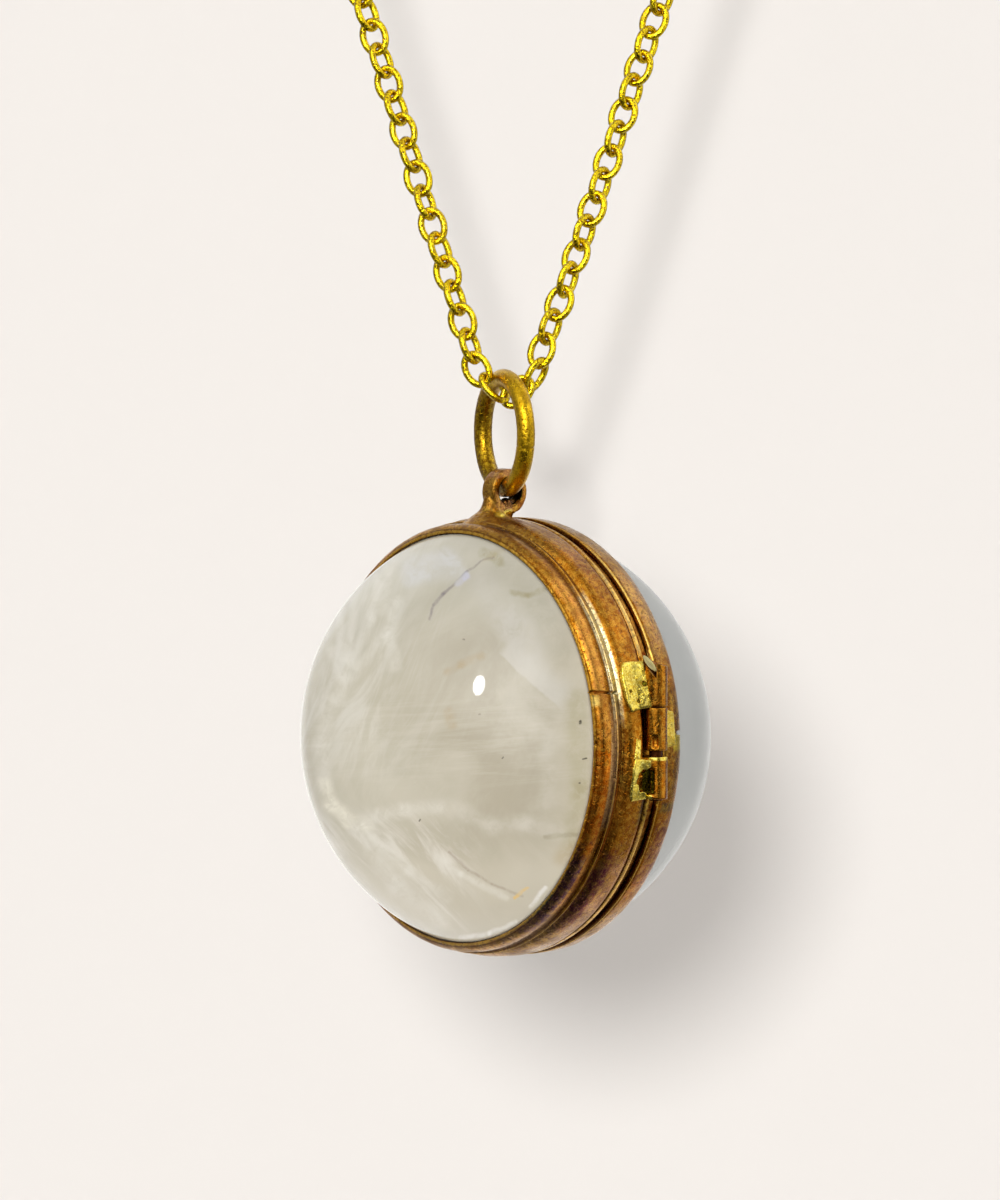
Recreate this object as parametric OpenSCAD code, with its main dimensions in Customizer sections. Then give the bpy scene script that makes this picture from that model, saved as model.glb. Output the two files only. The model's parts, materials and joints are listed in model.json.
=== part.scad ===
// Crystal orb pendant: a hinged orb locket of two rock crystal domes in two brass rings,
// hanging by its eye from a jump ring on a fine chain. Millimetres, +Z up, -Y to the front.
// The origin is where the clasp of the chain lies on the nape.
// The locket is drawn in a frame of its own: its axis along Y with the front dome towards -Y,
// the parting plane at y = 0 and the hinge at +X. "Forward" is a distance from the parting
// plane towards the front dome.

/* [Crystals] */
// Radius of the sphere that the front dome is cut from
front_dome_r = 11.97; // [11.8:0.01:12.1]
// Distance of that sphere's centre forward of the parting plane
front_dome_forward = -0.28; // [-0.4:0.01:-0.2]
// Radius of the sphere that the rear dome is cut from
rear_dome_r = 11.55; // [11.5:0.01:11.7]
// Distance of that sphere's centre forward of the parting plane
rear_dome_forward = 1.19; // [1.1:0.01:1.3]
// Radius of the straight girdle that sits in each ring
girdle_r = 11.12; // [11.0:0.01:11.14]
// Distance of the front crystal's flat back forward of the parting plane
front_back_face = 0.55; // [0.4:0.01:1]
// Distance of the rear crystal's flat back behind the parting plane
rear_back_face = 0.65; // [0.5:0.01:1]

/* [Rings] */
// Inner radius of both rings
ring_bore_r = 11.18; // [11.16:0.01:11.3]
// Largest outer radius, over the half-round band
band_r = 12.0; // [11.9:0.01:12.1]
// Distance of the front ring's parting face forward of the parting plane
front_face = 0.32; // [0.2:0.01:0.36]
// Distance of the rear ring's parting face behind the parting plane
rear_face = 0.17; // [0.1:0.01:0.2]
// Forward edge of the front ring
front_ring_depth = 4.22; // [4.2:0.01:4.3]
// Rear edge of the rear ring, behind the parting plane
rear_ring_depth = 2.0; // [1.9:0.01:2.1]
// How far the front ring's inner tongue reaches behind the parting plane
tongue_depth = 0.3; // [0.2:0.01:0.4]

/* [Hinge] */
// Distance of the hinge axis from the locket's axis
hinge_out = 12.05; // [12.0:0.01:12.2]
// Distance of the hinge axis forward of the parting plane
hinge_forward = 0.45; // [0.4:0.01:0.5]
// Outer radius of the knuckles
knuckle_r = 0.63; // [0.6:0.01:0.66]
// Radius of the pin
pin_r = 0.36; // [0.3:0.01:0.4]
// Radial clearance of the pin in its knuckles
pin_clearance = 0.04; // [0.02:0.01:0.08]
// Height of the upper end of the top knuckle
hinge_top = 4.5; // [4.2:0.05:4.8]
// Height of the joint between the top knuckle and the middle one
hinge_upper_joint = 2.05; // [1.9:0.05:2.2]
// Height of the lower end of the middle knuckle
hinge_middle_end = -0.35; // [-0.5:0.05:-0.2]
// Height of the upper end of the bottom knuckle
hinge_lower_joint = -0.7; // [-0.9:0.05:-0.6]
// Height of the lower end of the bottom knuckle
hinge_bottom = -3.0; // [-3.2:0.05:-2.8]
// Forward edge of the two front leaves
leaf_forward = 2.4; // [2.2:0.05:2.6]
// Outer radius of the leaves, which follow the band
leaf_r = 12.1; // [12.05:0.01:12.15]

/* [Eye and jump ring] */
// Height of the eye's centre over the locket's axis
eye_height = 13.37; // [13.3:0.01:13.5]
// Outer radius of the eye
eye_r = 1.26; // [1.2:0.01:1.3]
// Radius of the eye's hole
eye_hole_r = 0.73; // [0.7:0.01:0.76]
// Thickness of the eye along its hole
eye_thickness = 0.95; // [0.8:0.01:1]
// Distance of the eye forward of the parting plane
eye_forward = 0.85; // [0.7:0.01:1]
// Sideways place of the eye, over the locket's balance point
eye_side = 0.05; // [0:0.01:0.1]
// Outer diameter of the jump ring
jump_ring_d = 7.0; // [6.8:0.05:7.2]
// Diameter of the jump ring's wire
jump_wire_d = 1.0; // [0.9:0.01:1.05]

/* [Chain] */
// Diameter of the tube that stands for the links
chain_d = 1.3; // [1.2:0.05:1.3]
// Diameter of the barrel clasp
clasp_d = 2.6; // [2.2:0.1:3]
// Length of the barrel clasp
clasp_length = 8; // [7:0.5:8]

/* [Pose] */
// Turn of the front dome away from the front, towards -X
locket_turn = 48.7; // [0:0.1:90]
// Turn of the jump ring's plane away from the front
jump_ring_turn = 67; // [40:1:90]

/* [Hidden] */
$fn = 96;
// Air between pieces that rest on each other, and an overlap that makes cuts clean
rest_gap = 0.03;
clean = 0.1;
arc_steps = 8;

// Half of the chain's route, from the clasp over the neck's side to just above the jump ring
clasp_side = [[clasp_length / 2 + 0.1, 0, 0], [13, -0.3, 0], [24, -2.8, -0.3], [35, -7.8, -1],
              [45.5, -15.4, -2.4], [53.8, -26, -4.9], [59.2, -38.5, -9], [61.2, -51, -16.5], [59.6, -62, -28],
              [55, -70.2, -42]];
right_strand = [[48.2, -76, -60], [34.6, -87.7, -100], [17.5, -102.4, -150], [5.6, -112.7, -185],
                [0.5, -117.1, -200]];
left_strand = [[-48.8, -76, -60], [-36.3, -87.7, -100], [-20.7, -102.4, -150], [-9.8, -112.7, -185],
               [-5.1, -117.1, -200]];
// The turn at the bottom, on which the jump ring hangs, from right to left
chain_turn = [[-0.5, -117.9, -203.2], [-0.9, -118, -204.4], [-1.65, -118, -205.1],
              [-2.5, -118, -205.25], [-3.35, -118, -205.1], [-4.1, -118, -204.4],
              [-4.5, -117.9, -203.2]];
chain_low = [-2.5, -118, -205.25];
function mirrored(points) = [for (p = points) [-p.x, p.y, p.z]];
function reversed(points) = [for (i = [len(points) - 1:-1:0]) points[i]];
chain_route = concat(clasp_side, right_strand, chain_turn, reversed(left_strand),
                     reversed(mirrored(clasp_side)));
chain_sides = 8;
chain_ring_spacing = 5;
chain_strand_spacing = 30;
strand_top_z = -40;

// Heights that follow from how the pieces hang on each other
jump_mid_r = (jump_ring_d - jump_wire_d) / 2;
jump_bore_r = jump_mid_r - jump_wire_d / 2;
jump_ring_z = chain_low.z + chain_d / 2 + rest_gap - jump_bore_r;
jump_wire_low_z = jump_ring_z - jump_mid_r;
eye_rest_gap = 0.05;
eye_centre_z = jump_wire_low_z + jump_wire_d / 2 + eye_rest_gap - eye_hole_r;
locket_z = eye_centre_z - eye_height;

module at_jump_ring()
    translate([chain_low.x, chain_low.y, jump_ring_z]) rotate([0, 0, -jump_ring_turn]) children();

module at_locket()
    translate([chain_low.x, chain_low.y, locket_z]) rotate([0, 0, -locket_turn])
        translate([-eye_side, eye_forward, 0]) children();

// Turns an outline of [radius, forward] round the locket's axis
module round_axis() rotate([90, 0, 0]) rotate_extrude() children();

// Part of an ellipse, from angle a to b, where 0 points outwards and 90 forwards
function bulge(centre_r, centre_f, out, along, a, b) =
    [for (i = [0:arc_steps]) let (t = a + (b - a) * i / arc_steps)
        [centre_r + out * cos(t), centre_f + along * sin(t)]];

// The front ring's outline: inner tongue with a step on it, parting rim, wide band, crested ridge and lip.
// The values are [distance forward] edges and [radius] crests and grooves, from the rear.
tongue_r = 11.44;
step_rear = -0.12;
step_r = 11.69;
rim_end = 0.72;
rim_r = 11.92;
band_start = 0.8;
band_flat_start = 1.02;
band_flat_end = 1.85;
band_end = 2.55;
ridge_start = 2.6;
ridge_crest = 2.97;
ridge_end = 3.28;
ridge_r = 11.85;
lip_start = 3.35;
lip_flat_end = 3.62;
lip_r = 11.68;
groove_r = 11.62;
lip_edge_r = ring_bore_r - 0.03;
lip_edge_depth = 0.05;
rim_round = 0.2;
groove_edge = 0.02;
lip_seat = 4.0;
function front_outline() = concat(
    [[ring_bore_r, -tongue_depth], [tongue_r, -tongue_depth], [tongue_r, step_rear]],
    [[step_r, step_rear], [step_r, front_face]],
    bulge(rim_r - rim_round, (front_face + rim_end) / 2, rim_round, (rim_end - front_face) / 2,
          -90, 90),
    [[groove_r, rim_end + groove_edge], [groove_r, band_start]],
    bulge(band_r - rim_round, band_flat_start, rim_round, band_flat_start - band_start, -90, 0),
    bulge(groove_r, band_flat_end, band_r - groove_r, band_end - band_flat_end, 0, 90),
    [[groove_r, ridge_start], [ridge_r, ridge_crest], [groove_r, ridge_end], [groove_r, lip_start]],
    bulge(lip_edge_r, lip_flat_end, lip_r - lip_edge_r, front_ring_depth - lip_flat_end, 0, 90),
    [[lip_edge_r, lip_seat + lip_edge_depth], [ring_bore_r, lip_seat]]);

// The rear ring's outline, behind the parting plane: a fine rim line and one rounded band
rear_recess_r = 11.5;
rear_recess = 0.45;
rear_rim_end = 0.32;
rear_rim_r = 11.93;
rear_groove_r = 11.87;
rear_band_start = 0.4;
rear_band_r = 11.91;
rear_rim_round = 0.15;
rear_seat = 1.8;
function rear_outline() = concat(
    [[ring_bore_r, -rear_recess], [rear_recess_r, -rear_recess], [rear_recess_r, -rear_face]],
    bulge(rear_rim_r - rear_rim_round, -(rear_rim_end + rear_face) / 2, rear_rim_round,
          (rear_rim_end - rear_face) / 2, 90, 0),
    [[rear_groove_r, -rear_rim_end], [rear_groove_r, groove_edge - rear_band_start]],
    bulge(lip_edge_r, -rear_band_start, rear_band_r - lip_edge_r,
          rear_ring_depth - rear_band_start, 0, -90),
    [[lip_edge_r, -rear_seat - lip_edge_depth], [ring_bore_r, -rear_seat]]);

// A slice of the hinge between two heights
module hinge_rod(r, low, high)
    translate([hinge_out, -hinge_forward, low]) cylinder(r = r, h = high - low);

// A leaf that follows the band between two heights and two distances forward
leaf_root_r = 11.42;
hinge_side_start = 8;
hinge_side_end = 14;
module leaf(low, high, rear, front)
    intersection() {
        round_axis() polygon([[leaf_root_r, rear], [leaf_r, rear], [leaf_r, front],
                              [leaf_root_r, front]]);
        translate([hinge_side_start, -front - clean, low])
            cube([hinge_side_end - hinge_side_start, front - rear + 2 * clean, high - low]);
    }

// The filed upper end of the hinge: what lies beyond a plane that slopes outwards
file_angle = 42;
file_reach = 3;
module filed_off(height)
    translate([hinge_out, -hinge_forward, height]) rotate([0, file_angle, 0])
        translate([-file_reach, -file_reach, 0]) cube([2 * file_reach, 2 * file_reach, file_reach]);

// Clearance round a turning knuckle and at its ends, and how far the filing goes into the top one
knuckle_room = 0.1;
knuckle_end_room = 0.05;
clearing = 1;
file_depth = 0.1;
// The slot filed in the front ring for the middle knuckle
slot_room = 0.3;
slot_floor_r = 11.4;
module knuckle_slot()
    translate([slot_floor_r, -hinge_forward - knuckle_r - slot_room, hinge_lower_joint])
        cube([hinge_side_end - slot_floor_r, 2 * (knuckle_r + slot_room),
              hinge_upper_joint - hinge_lower_joint]);
module front_knuckles()
    difference() {
        union() {
            hinge_rod(knuckle_r, hinge_upper_joint, hinge_top);
            hinge_rod(knuckle_r, hinge_bottom, hinge_lower_joint);
        }
        filed_off(hinge_top - file_depth);
    }

// The eye with its soldered foot
foot_base_r = 1.72;
foot_waist_r = 1.12;
foot_top_r = 0.8;
foot_forward = 1.72;
foot_half_width = 0.95;
foot_forward_end = 5;
foot_low = 11.4;
foot_waist = 12.15;
foot_top = 12.75;
eye_hole_reach = 2;
eye_round = (eye_r - eye_hole_r) / 2;
function stadium(mid_r, half) = concat(
    [for (i = [0:2 * arc_steps]) let (t = 180 * i / (2 * arc_steps))
        [mid_r + eye_round * cos(t), half + eye_round * sin(t)]],
    [for (i = [0:2 * arc_steps]) let (t = 180 + 180 * i / (2 * arc_steps))
        [mid_r + eye_round * cos(t), -half + eye_round * sin(t)]]);
module eye_ring()
    translate([eye_side, -eye_forward, eye_height]) rotate([0, 90, 0])
        rotate_extrude() polygon(stadium(eye_r - eye_round, eye_thickness / 2 - eye_round));
module eye_hole()
    translate([eye_side - eye_hole_reach, -eye_forward, eye_height]) rotate([0, 90, 0])
        cylinder(r = eye_hole_r, h = 2 * eye_hole_reach);
module eye_foot()
    intersection() {
        translate([eye_side, -foot_forward, 0]) union() {
            translate([0, 0, foot_low])
                cylinder(r1 = foot_base_r, r2 = foot_waist_r, h = foot_waist - foot_low);
            translate([0, 0, foot_waist])
                cylinder(r1 = foot_waist_r, r2 = foot_top_r, h = foot_top - foot_waist);
        }
        translate([eye_side - foot_half_width, -foot_forward_end, foot_low - clean])
            cube([2 * foot_half_width, foot_forward_end - front_face, foot_top - foot_low + 2 * clean]);
    }
module eye()
    union() {
        eye_ring();
        difference() {
            eye_foot();
            eye_hole();
        }
    }

// The open butt joint of the lip's strip, and the small nick in the rear ring
seam_floor_r = 11.38;
seam_low = 2.85;
seam_width = 0.12;
module lip_seam()
    translate([seam_floor_r, -front_ring_depth - clean, seam_low])
        cube([band_r - seam_floor_r, front_ring_depth + clean - ridge_start, seam_width]);
nick_floor_r = 11.5;
nick_start = 1.45;
nick_low = 0.42;
nick_width = 0.24;
module rear_nick()
    translate([nick_floor_r, nick_start, nick_low])
        cube([band_r - nick_floor_r, rear_ring_depth + clean - nick_start, nick_width]);

module front_bezel() {
    color("peru") at_locket() difference() {
        union() {
            difference() {
                union() {
                    round_axis() polygon(front_outline());
                    leaf(hinge_upper_joint, hinge_top, front_face, leaf_forward);
                    leaf(hinge_bottom, hinge_lower_joint, front_face, leaf_forward);
                }
                hinge_rod(knuckle_r + knuckle_room, hinge_lower_joint, hinge_upper_joint);
                knuckle_slot();
                lip_seam();
            }
            front_knuckles();
            eye();
        }
        hinge_rod(pin_r + pin_clearance, hinge_bottom - clean, hinge_top + clean);
    }
}

// The rear half's leaf, and the web that joins it to the middle knuckle
rear_leaf_depth = 1.3;
web_r = 11.55;
web_depth = 0.5;
middle_top = hinge_upper_joint - 0.07;
module rear_bezel() {
    color("sienna") at_locket() difference() {
        union() {
            difference() {
                union() {
                    round_axis() polygon(rear_outline());
                    leaf(hinge_middle_end + knuckle_end_room, middle_top - knuckle_end_room,
                         -rear_leaf_depth, -rear_face);
                }
                hinge_rod(knuckle_r + knuckle_room, hinge_upper_joint - knuckle_end_room,
                          hinge_top + clearing);
                hinge_rod(knuckle_r + knuckle_room, hinge_bottom - clearing,
                          hinge_lower_joint + knuckle_end_room);
                rear_nick();
            }
            hinge_rod(knuckle_r, hinge_middle_end, middle_top);
            translate([web_r, 0, hinge_middle_end])
                cube([leaf_r - web_r, web_depth, middle_top - hinge_middle_end]);
        }
        hinge_rod(pin_r + pin_clearance, hinge_middle_end - clean, hinge_upper_joint + clean);
    }
}

// The pin stands proud of the knuckles at both ends
pin_proud = 0.08;
pin_stock = 0.6;
module hinge_pin() {
    color("lightyellow") at_locket() difference() {
        hinge_rod(pin_r, hinge_bottom - pin_proud, hinge_top + pin_stock);
        filed_off(hinge_top + pin_proud);
    }
}

// A crystal: a straight girdle closed by part of a sphere, with a flat back
crystal_stock = 14;
module front_crystal() {
    color("gainsboro", 0.6) at_locket() rotate([90, 0, 0]) intersection() {
        translate([0, 0, front_dome_forward]) sphere(r = front_dome_r);
        translate([0, 0, front_back_face]) cylinder(r = girdle_r, h = crystal_stock);
    }
}

module rear_crystal() {
    color("silver", 0.6) at_locket() rotate([90, 0, 0]) intersection() {
        translate([0, 0, rear_dome_forward]) sphere(r = rear_dome_r);
        translate([0, 0, -rear_back_face - crystal_stock]) cylinder(r = girdle_r, h = crystal_stock);
    }
}

module jump_ring() {
    color("darkgoldenrod") at_jump_ring() rotate([90, 0, 0])
        rotate_extrude() translate([jump_mid_r, 0]) circle(d = jump_wire_d);
}

// The chain's route, rounded through its points: a slope at each point that weighs its two
// neighbours by distance, and a cubic between them
function unit(v) = v / norm(v);
function slope(p, i) =
    i == 0 ? [1, 0, 0] :
    i == len(p) - 1 ? [1, 0, 0] :
    let (a = p[i] - p[i - 1], b = p[i + 1] - p[i], la = norm(a), lb = norm(b))
        unit(a / la * lb + b / lb * la);
function span(p, i, t) =
    let (l = norm(p[i + 1] - p[i]), s = 1 - t)
        p[i] * s * s * (1 + 2 * t) + p[i + 1] * t * t * (3 - 2 * t)
        + slope(p, i) * l * s * s * t - slope(p, i + 1) * l * t * t * s;
function span_steps(p, i) =
    let (l = norm(p[i + 1] - p[i]))
        l > chain_strand_spacing / 2 && p[i].z + p[i + 1].z < 2 * strand_top_z
            ? ceil(l / chain_strand_spacing) : ceil(l / chain_ring_spacing);
function rounded(p) = concat(
    [for (i = [0:len(p) - 2]) let (n = span_steps(p, i)) for (k = [0:n - 1]) span(p, i, k / n)],
    [p[len(p) - 1]]);
function direction(q, i) = unit(q[min(i + 1, len(q) - 1)] - q[max(i - 1, 0)]);
function tube_ring(q, i) =
    let (d = direction(q, i), across = unit([-d.z, 0, d.x]), over = cross(d, across))
        [for (k = [0:chain_sides - 1]) let (t = 360 * k / chain_sides)
            q[i] + chain_d / 2 * (cos(t) * across + sin(t) * over)];
module tube(q) {
    n = len(q);
    s = chain_sides;
    walls = [for (i = [0:n - 2], k = [0:s - 1]) let (m = (k + 1) % s)
        [i * s + k, (i + 1) * s + k, (i + 1) * s + m, i * s + m]];
    ends = [[for (k = [0:s - 1]) k], [for (k = [s - 1:-1:0]) (n - 1) * s + k]];
    polyhedron([for (i = [0:n - 1]) each tube_ring(q, i)], concat(walls, ends), convexity = 10);
}
module chain() {
    color("gold") tube(rounded(chain_route));
}

// The hidden clasp: a plain barrel with tapered ends
clasp_taper = 1.2;
clasp_mouth_r = chain_d / 2 + 0.1;
module clasp() {
    color("gold") translate([-clasp_length / 2, 0, 0]) rotate([0, 90, 0]) rotate_extrude()
        polygon([[0, 0], [clasp_mouth_r, 0], [clasp_d / 2, clasp_taper],
                 [clasp_d / 2, clasp_length - clasp_taper], [clasp_mouth_r, clasp_length],
                 [0, clasp_length]]);
}

chain();
clasp();
jump_ring();
front_bezel();
front_crystal();
hinge_pin();
rear_bezel();
rear_crystal();
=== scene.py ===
"""Looks of a crystal orb locket on a fine cable chain, in metres, in the frame of its CAD part.

The locket's own frame: "side" points out through the hinge, "forward" along the locket's axis
from the parting plane towards the front dome, and "up" is up. Sizes below are in millimetres.
"""
import json
import math

import bmesh
import bpy
import numpy as np
from mathutils import Matrix, Vector, noise


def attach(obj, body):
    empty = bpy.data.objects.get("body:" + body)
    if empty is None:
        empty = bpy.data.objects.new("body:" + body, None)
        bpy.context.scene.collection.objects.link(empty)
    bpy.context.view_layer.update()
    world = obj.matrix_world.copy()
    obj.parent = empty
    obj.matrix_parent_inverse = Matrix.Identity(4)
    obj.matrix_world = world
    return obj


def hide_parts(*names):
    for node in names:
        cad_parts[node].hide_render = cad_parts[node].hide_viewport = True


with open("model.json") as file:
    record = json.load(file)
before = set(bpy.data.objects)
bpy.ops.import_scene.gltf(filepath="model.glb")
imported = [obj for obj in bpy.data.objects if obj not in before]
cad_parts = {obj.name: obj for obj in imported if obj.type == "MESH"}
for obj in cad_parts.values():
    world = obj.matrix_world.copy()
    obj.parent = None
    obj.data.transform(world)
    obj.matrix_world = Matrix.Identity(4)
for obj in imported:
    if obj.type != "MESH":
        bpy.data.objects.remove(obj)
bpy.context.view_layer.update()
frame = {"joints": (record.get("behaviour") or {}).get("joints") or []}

MM = 0.001

# Where the locket and its ring hang
LOCKET_TURN = math.radians(48.7)
RING_TURN = math.radians(67.0)
HINGE_SIDE = 12.05
HINGE_FORWARD = 0.45
JUMP_MID_R = 3.0
JUMP_WIRE_R = 0.5
joints = {j["name"]: Vector(j["pos_m"]) for j in frame["joints"]}
LOCKET_ROTATION = Matrix.Rotation(-LOCKET_TURN, 4, "Z")
LOCKET_CENTRE = joints["locket_open"] - LOCKET_ROTATION @ Vector((HINGE_SIDE, -HINGE_FORWARD, 0)) * MM
LOCKET_PLACE = Matrix.Translation(LOCKET_CENTRE) @ LOCKET_ROTATION
RING_CENTRE = joints["locket_swing"] + Vector((0, 0, JUMP_MID_R * MM))
RING_PLACE = Matrix.Translation(RING_CENTRE) @ Matrix.Rotation(-RING_TURN, 4, "Z")

# The metal rings: (forward from the parting plane, radius, wear from 1 on rubbed edges to -1 in grooves)
FRONT_OUTLINE = [
    (-0.3, 11.18, -1), (-0.3, 11.41, -0.3), (-0.27, 11.44, 0.1), (-0.12, 11.44, -0.6), (-0.12, 11.62, -0.2),
    (-0.09, 11.68, 0.3), (0.1, 11.69, 0.1), (0.3, 11.69, -0.2), (0.32, 11.72, -0.6), (0.34, 11.82, -0.3),
    (0.38, 11.88, 0.5), (0.45, 11.92, 0.9), (0.58, 11.92, 0.6),
    (0.66, 11.9, 0.3), (0.7, 11.86, -0.2), (0.72, 11.78, -1), (0.735, 11.64, -1), (0.765, 11.64, -1),
    (0.78, 11.8, -0.4), (0.8, 11.9, 0.4), (0.84, 11.93, 0.5), (0.92, 11.965, 0), (1.05, 12.0, 0),
    (1.45, 12.01, 0), (1.85, 12.0, 0), (2.03, 11.97, 0), (2.2, 11.91, 0), (2.35, 11.82, -0.1),
    (2.46, 11.72, -0.2), (2.5, 11.66, 0.5), (2.54, 11.62, -0.8), (2.58, 11.61, -0.6), (2.68, 11.64, 0),
    (2.8, 11.69, 0.2), (2.88, 11.725, 0.2), (2.925, 11.77, 0.4), (2.95, 11.81, 1), (2.98, 11.81, 1),
    (3.005, 11.77, 0), (3.03, 11.7, -0.9), (3.08, 11.66, -0.9), (3.2, 11.655, -0.6), (3.35, 11.67, -0.3),
    (3.5, 11.685, -0.1), (3.63, 11.685, 0), (3.77, 11.66, 0), (3.9, 11.61, 0), (4.02, 11.53, 0.1),
    (4.11, 11.43, -0.2), (4.14, 11.38, -0.9), (4.165, 11.34, 0.6), (4.2, 11.27, 1), (4.21, 11.21, 0.8),
    (4.19, 11.17, -1), (4.1, 11.15, -1), (4.0, 11.18, -1)]
REAR_OUTLINE = [
    (-0.45, 11.18, -1), (-0.45, 11.5, -1), (-0.17, 11.5, -1), (-0.17, 11.8, -0.9), (-0.18, 11.87, -0.4),
    (-0.21, 11.92, 0.9), (-0.25, 11.935, 1), (-0.29, 11.92, 0.8), (-0.32, 11.885, -0.4),
    (-0.35, 11.87, -0.6), (-0.39, 11.885, 0), (-0.46, 11.91, 0), (-0.8, 11.9, 0), (-1.1, 11.855, 0),
    (-1.35, 11.78, 0), (-1.55, 11.69, 0), (-1.72, 11.58, 0), (-1.86, 11.44, 0.2), (-1.95, 11.3, 0.5),
    (-2.0, 11.17, 0.2), (-1.97, 11.14, -1), (-1.85, 11.15, -1), (-1.8, 11.18, -1)]
# Further out than this is the rings' outer face, with its hand-made waves
OUTER_FACE_R = 11.4

# Marks beside the hinge: a leaning seam through the front lip and a nick in the rear ring's edge
SEAM_UP = 2.85
SEAM_FORWARD = 3.4
SEAM_LEAN = 0.05
SEAM_HALF = 0.075
SEAM_DEPTH = 0.24
LIP_FROM = 2.6
LIP_FACE_R = 11.25
NICK_UP = 0.54
NICK_HALF = 0.115
NICK_FORWARD = -1.3

# The hinge
KNUCKLE_R = 0.63
KNUCKLE_ROOM = 0.1
SLOT_ROOM = 0.28
PIN_R = 0.36
PIN_CLEARANCE = 0.04
HINGE_TOP = 4.5
UPPER_JOINT = 2.05
MIDDLE_END = -0.35
LOWER_JOINT = -0.7
HINGE_BOTTOM = -3.0
FILED_MIDDLE = 4.41
FILED_SLOPE = 0.97
FILED_TILT = 0.6
PIN_BEND = 0.33
# The knuckles' pockets and the marks lie where the cosine of the angle round the ring is over this
NEAR_HINGE = 0.9
POCKET_FROM_R = 11.3
POCKET_FLOOR_R = 11.42
LEAF_FOOT_R = 11.5
# How pale with solder the knuckles are all over
KNUCKLE_PALE = 0.3

# The eye on top
EYE_UP = 13.37
EYE_FORWARD = 0.85
EYE_SIDE = 0.05
EYE_R = 1.26
EYE_HOLE_R = 0.73
EYE_HALF = 0.51
# Its foot: (up, radius, forward), and the solder at its root: (side, forward, up, radius)
FOOT_SECTIONS = [(11.3, 2.0, 1.75), (11.55, 1.75, 1.8), (11.78, 1.42, 1.84), (11.95, 1.15, 1.86),
                 (12.1, 0.92, 1.87), (12.3, 0.68, 1.86), (12.5, 0.54, 1.84), (12.8, 0.45, 1.82),
                 (13.1, 0.38, 1.82)]
SOLDER_DROPS = [(0.1, 1.2, 12.12, 0.34), (0.1, 0.62, 12.08, 0.26), (0.2, 0.9, 12.68, 0.36)]

# The crystals: (dome radius, dome centre forward, flat face forward)
GIRDLE_R = 11.12
FRONT_DOME = (11.97, -0.28, 0.55)
REAR_DOME = (11.55, 1.19, -0.65)

# The chain's links
LINK_LENGTH = 2.215
LINK_WIDTH = 1.65
LINK_WIRE = 0.39
LINK_PITCH = 1.393
CLASP_HALF = 4.0
# Heights in metres: links are finer below the first, and the clasp lies above the second
NEAR_LINKS_TOP = -0.182
CLASP_ZONE_LOW = -0.02

# The photograph: its pixels to the millimetre, its height, and the locket's middle in it
PHOTO_SCALE = 18.33
PHOTO_HEIGHT = 1200
LOCKET_PIXEL = (516, 736.7)

# The camera looks a little down. Much over 2500 mm away, it leaves the views from other sides empty.
CAMERA_ELEVATION = math.radians(2.5)
CAMERA_DISTANCE = 2000.0
CAMERA_AIM = Vector((-2.74, -118.0, -216.18))
SENSOR = 36.0

# Kinds of sockets
SHAPE, NUMBER, WHOLE = "NodeSocketGeometry", "NodeSocketFloat", "NodeSocketInt"
COLOUR, ARROW = "NodeSocketColor", "NodeSocketVector"

collection = bpy.context.scene.collection


def add_mesh(name, points, faces, place=None):
    """A smooth mesh object from points in millimetres, moved into its place in the frame."""
    mesh = bpy.data.meshes.new(name)
    mesh.from_pydata([tuple(p) for p in np.asarray(points) * MM], [], [tuple(map(int, f)) for f in faces])
    if place is not None:
        mesh.transform(place)
    mesh.update()
    shape = bmesh.new()
    shape.from_mesh(mesh)
    bmesh.ops.recalc_face_normals(shape, faces=shape.faces)
    shape.to_mesh(mesh)
    shape.free()
    mesh.shade_smooth()
    piece = bpy.data.objects.new(name, mesh)
    collection.objects.link(piece)
    return piece


def add_attribute(piece, name, values):
    layer = piece.data.attributes.new(name, "FLOAT", "POINT")
    layer.data.foreach_set("value", np.asarray(values, dtype=np.float32))


def grid_faces(rows, columns, wrap_rows=False, wrap_columns=False, start=0):
    """Quads over a grid of points stored row by row."""
    faces = []
    for i in range(rows if wrap_rows else rows - 1):
        for k in range(columns if wrap_columns else columns - 1):
            a = start + i * columns + k
            b = start + i * columns + (k + 1) % columns
            c = start + (i + 1) % rows * columns + (k + 1) % columns
            d = start + (i + 1) % rows * columns + k
            faces.append((a, b, c, d))
    return faces


def capped_faces(rows, steps):
    """Faces of a closed body whose rows of points run round it, with a flat cap at each end."""
    faces = grid_faces(rows, steps, wrap_columns=True)
    return faces + [tuple(range(steps)), tuple(range((rows - 1) * steps, rows * steps))]


def ripple(x, y, scale, seed):
    """Smooth noise between -1 and 1, the same in each run."""
    return noise.noise(Vector((x * scale, y * scale, seed)))


def wave(angle, scale, seed):
    """Smooth noise round a ring, which closes on itself."""
    return ripple(math.cos(angle), math.sin(angle), scale, seed)


class Shell:
    """Points and faces of one piece, collected part by part, with wear and depth for each point."""

    def __init__(self):
        self.points, self.faces, self.wear, self.solder = [], [], [], []

    def add(self, points, faces, wear=0.0, solder=0.0):
        start = len(self.points)
        self.points.extend(points)
        self.faces.extend(tuple(start + k for k in f) for f in faces)
        count = len(points)
        self.wear.extend(wear if np.ndim(wear) else [wear] * count)
        self.solder.extend(solder if np.ndim(solder) else [solder] * count)

    def piece(self, name, place):
        made = add_mesh(name, self.points, self.faces, place)
        add_attribute(made, "wear", self.wear)
        add_attribute(made, "solder", self.solder)
        return made


def dense_outline(outline, step=0.07):
    """The outline with points added on its long straight stretches."""
    dense = []
    for first, second in zip(outline, outline[1:] + outline[:1]):
        first, second = np.array(first), np.array(second)
        count = max(1, math.ceil(math.hypot(*(second - first)[:2]) / step))
        dense += [first + (second - first) * i / count for i in range(count)]
    return dense


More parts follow.
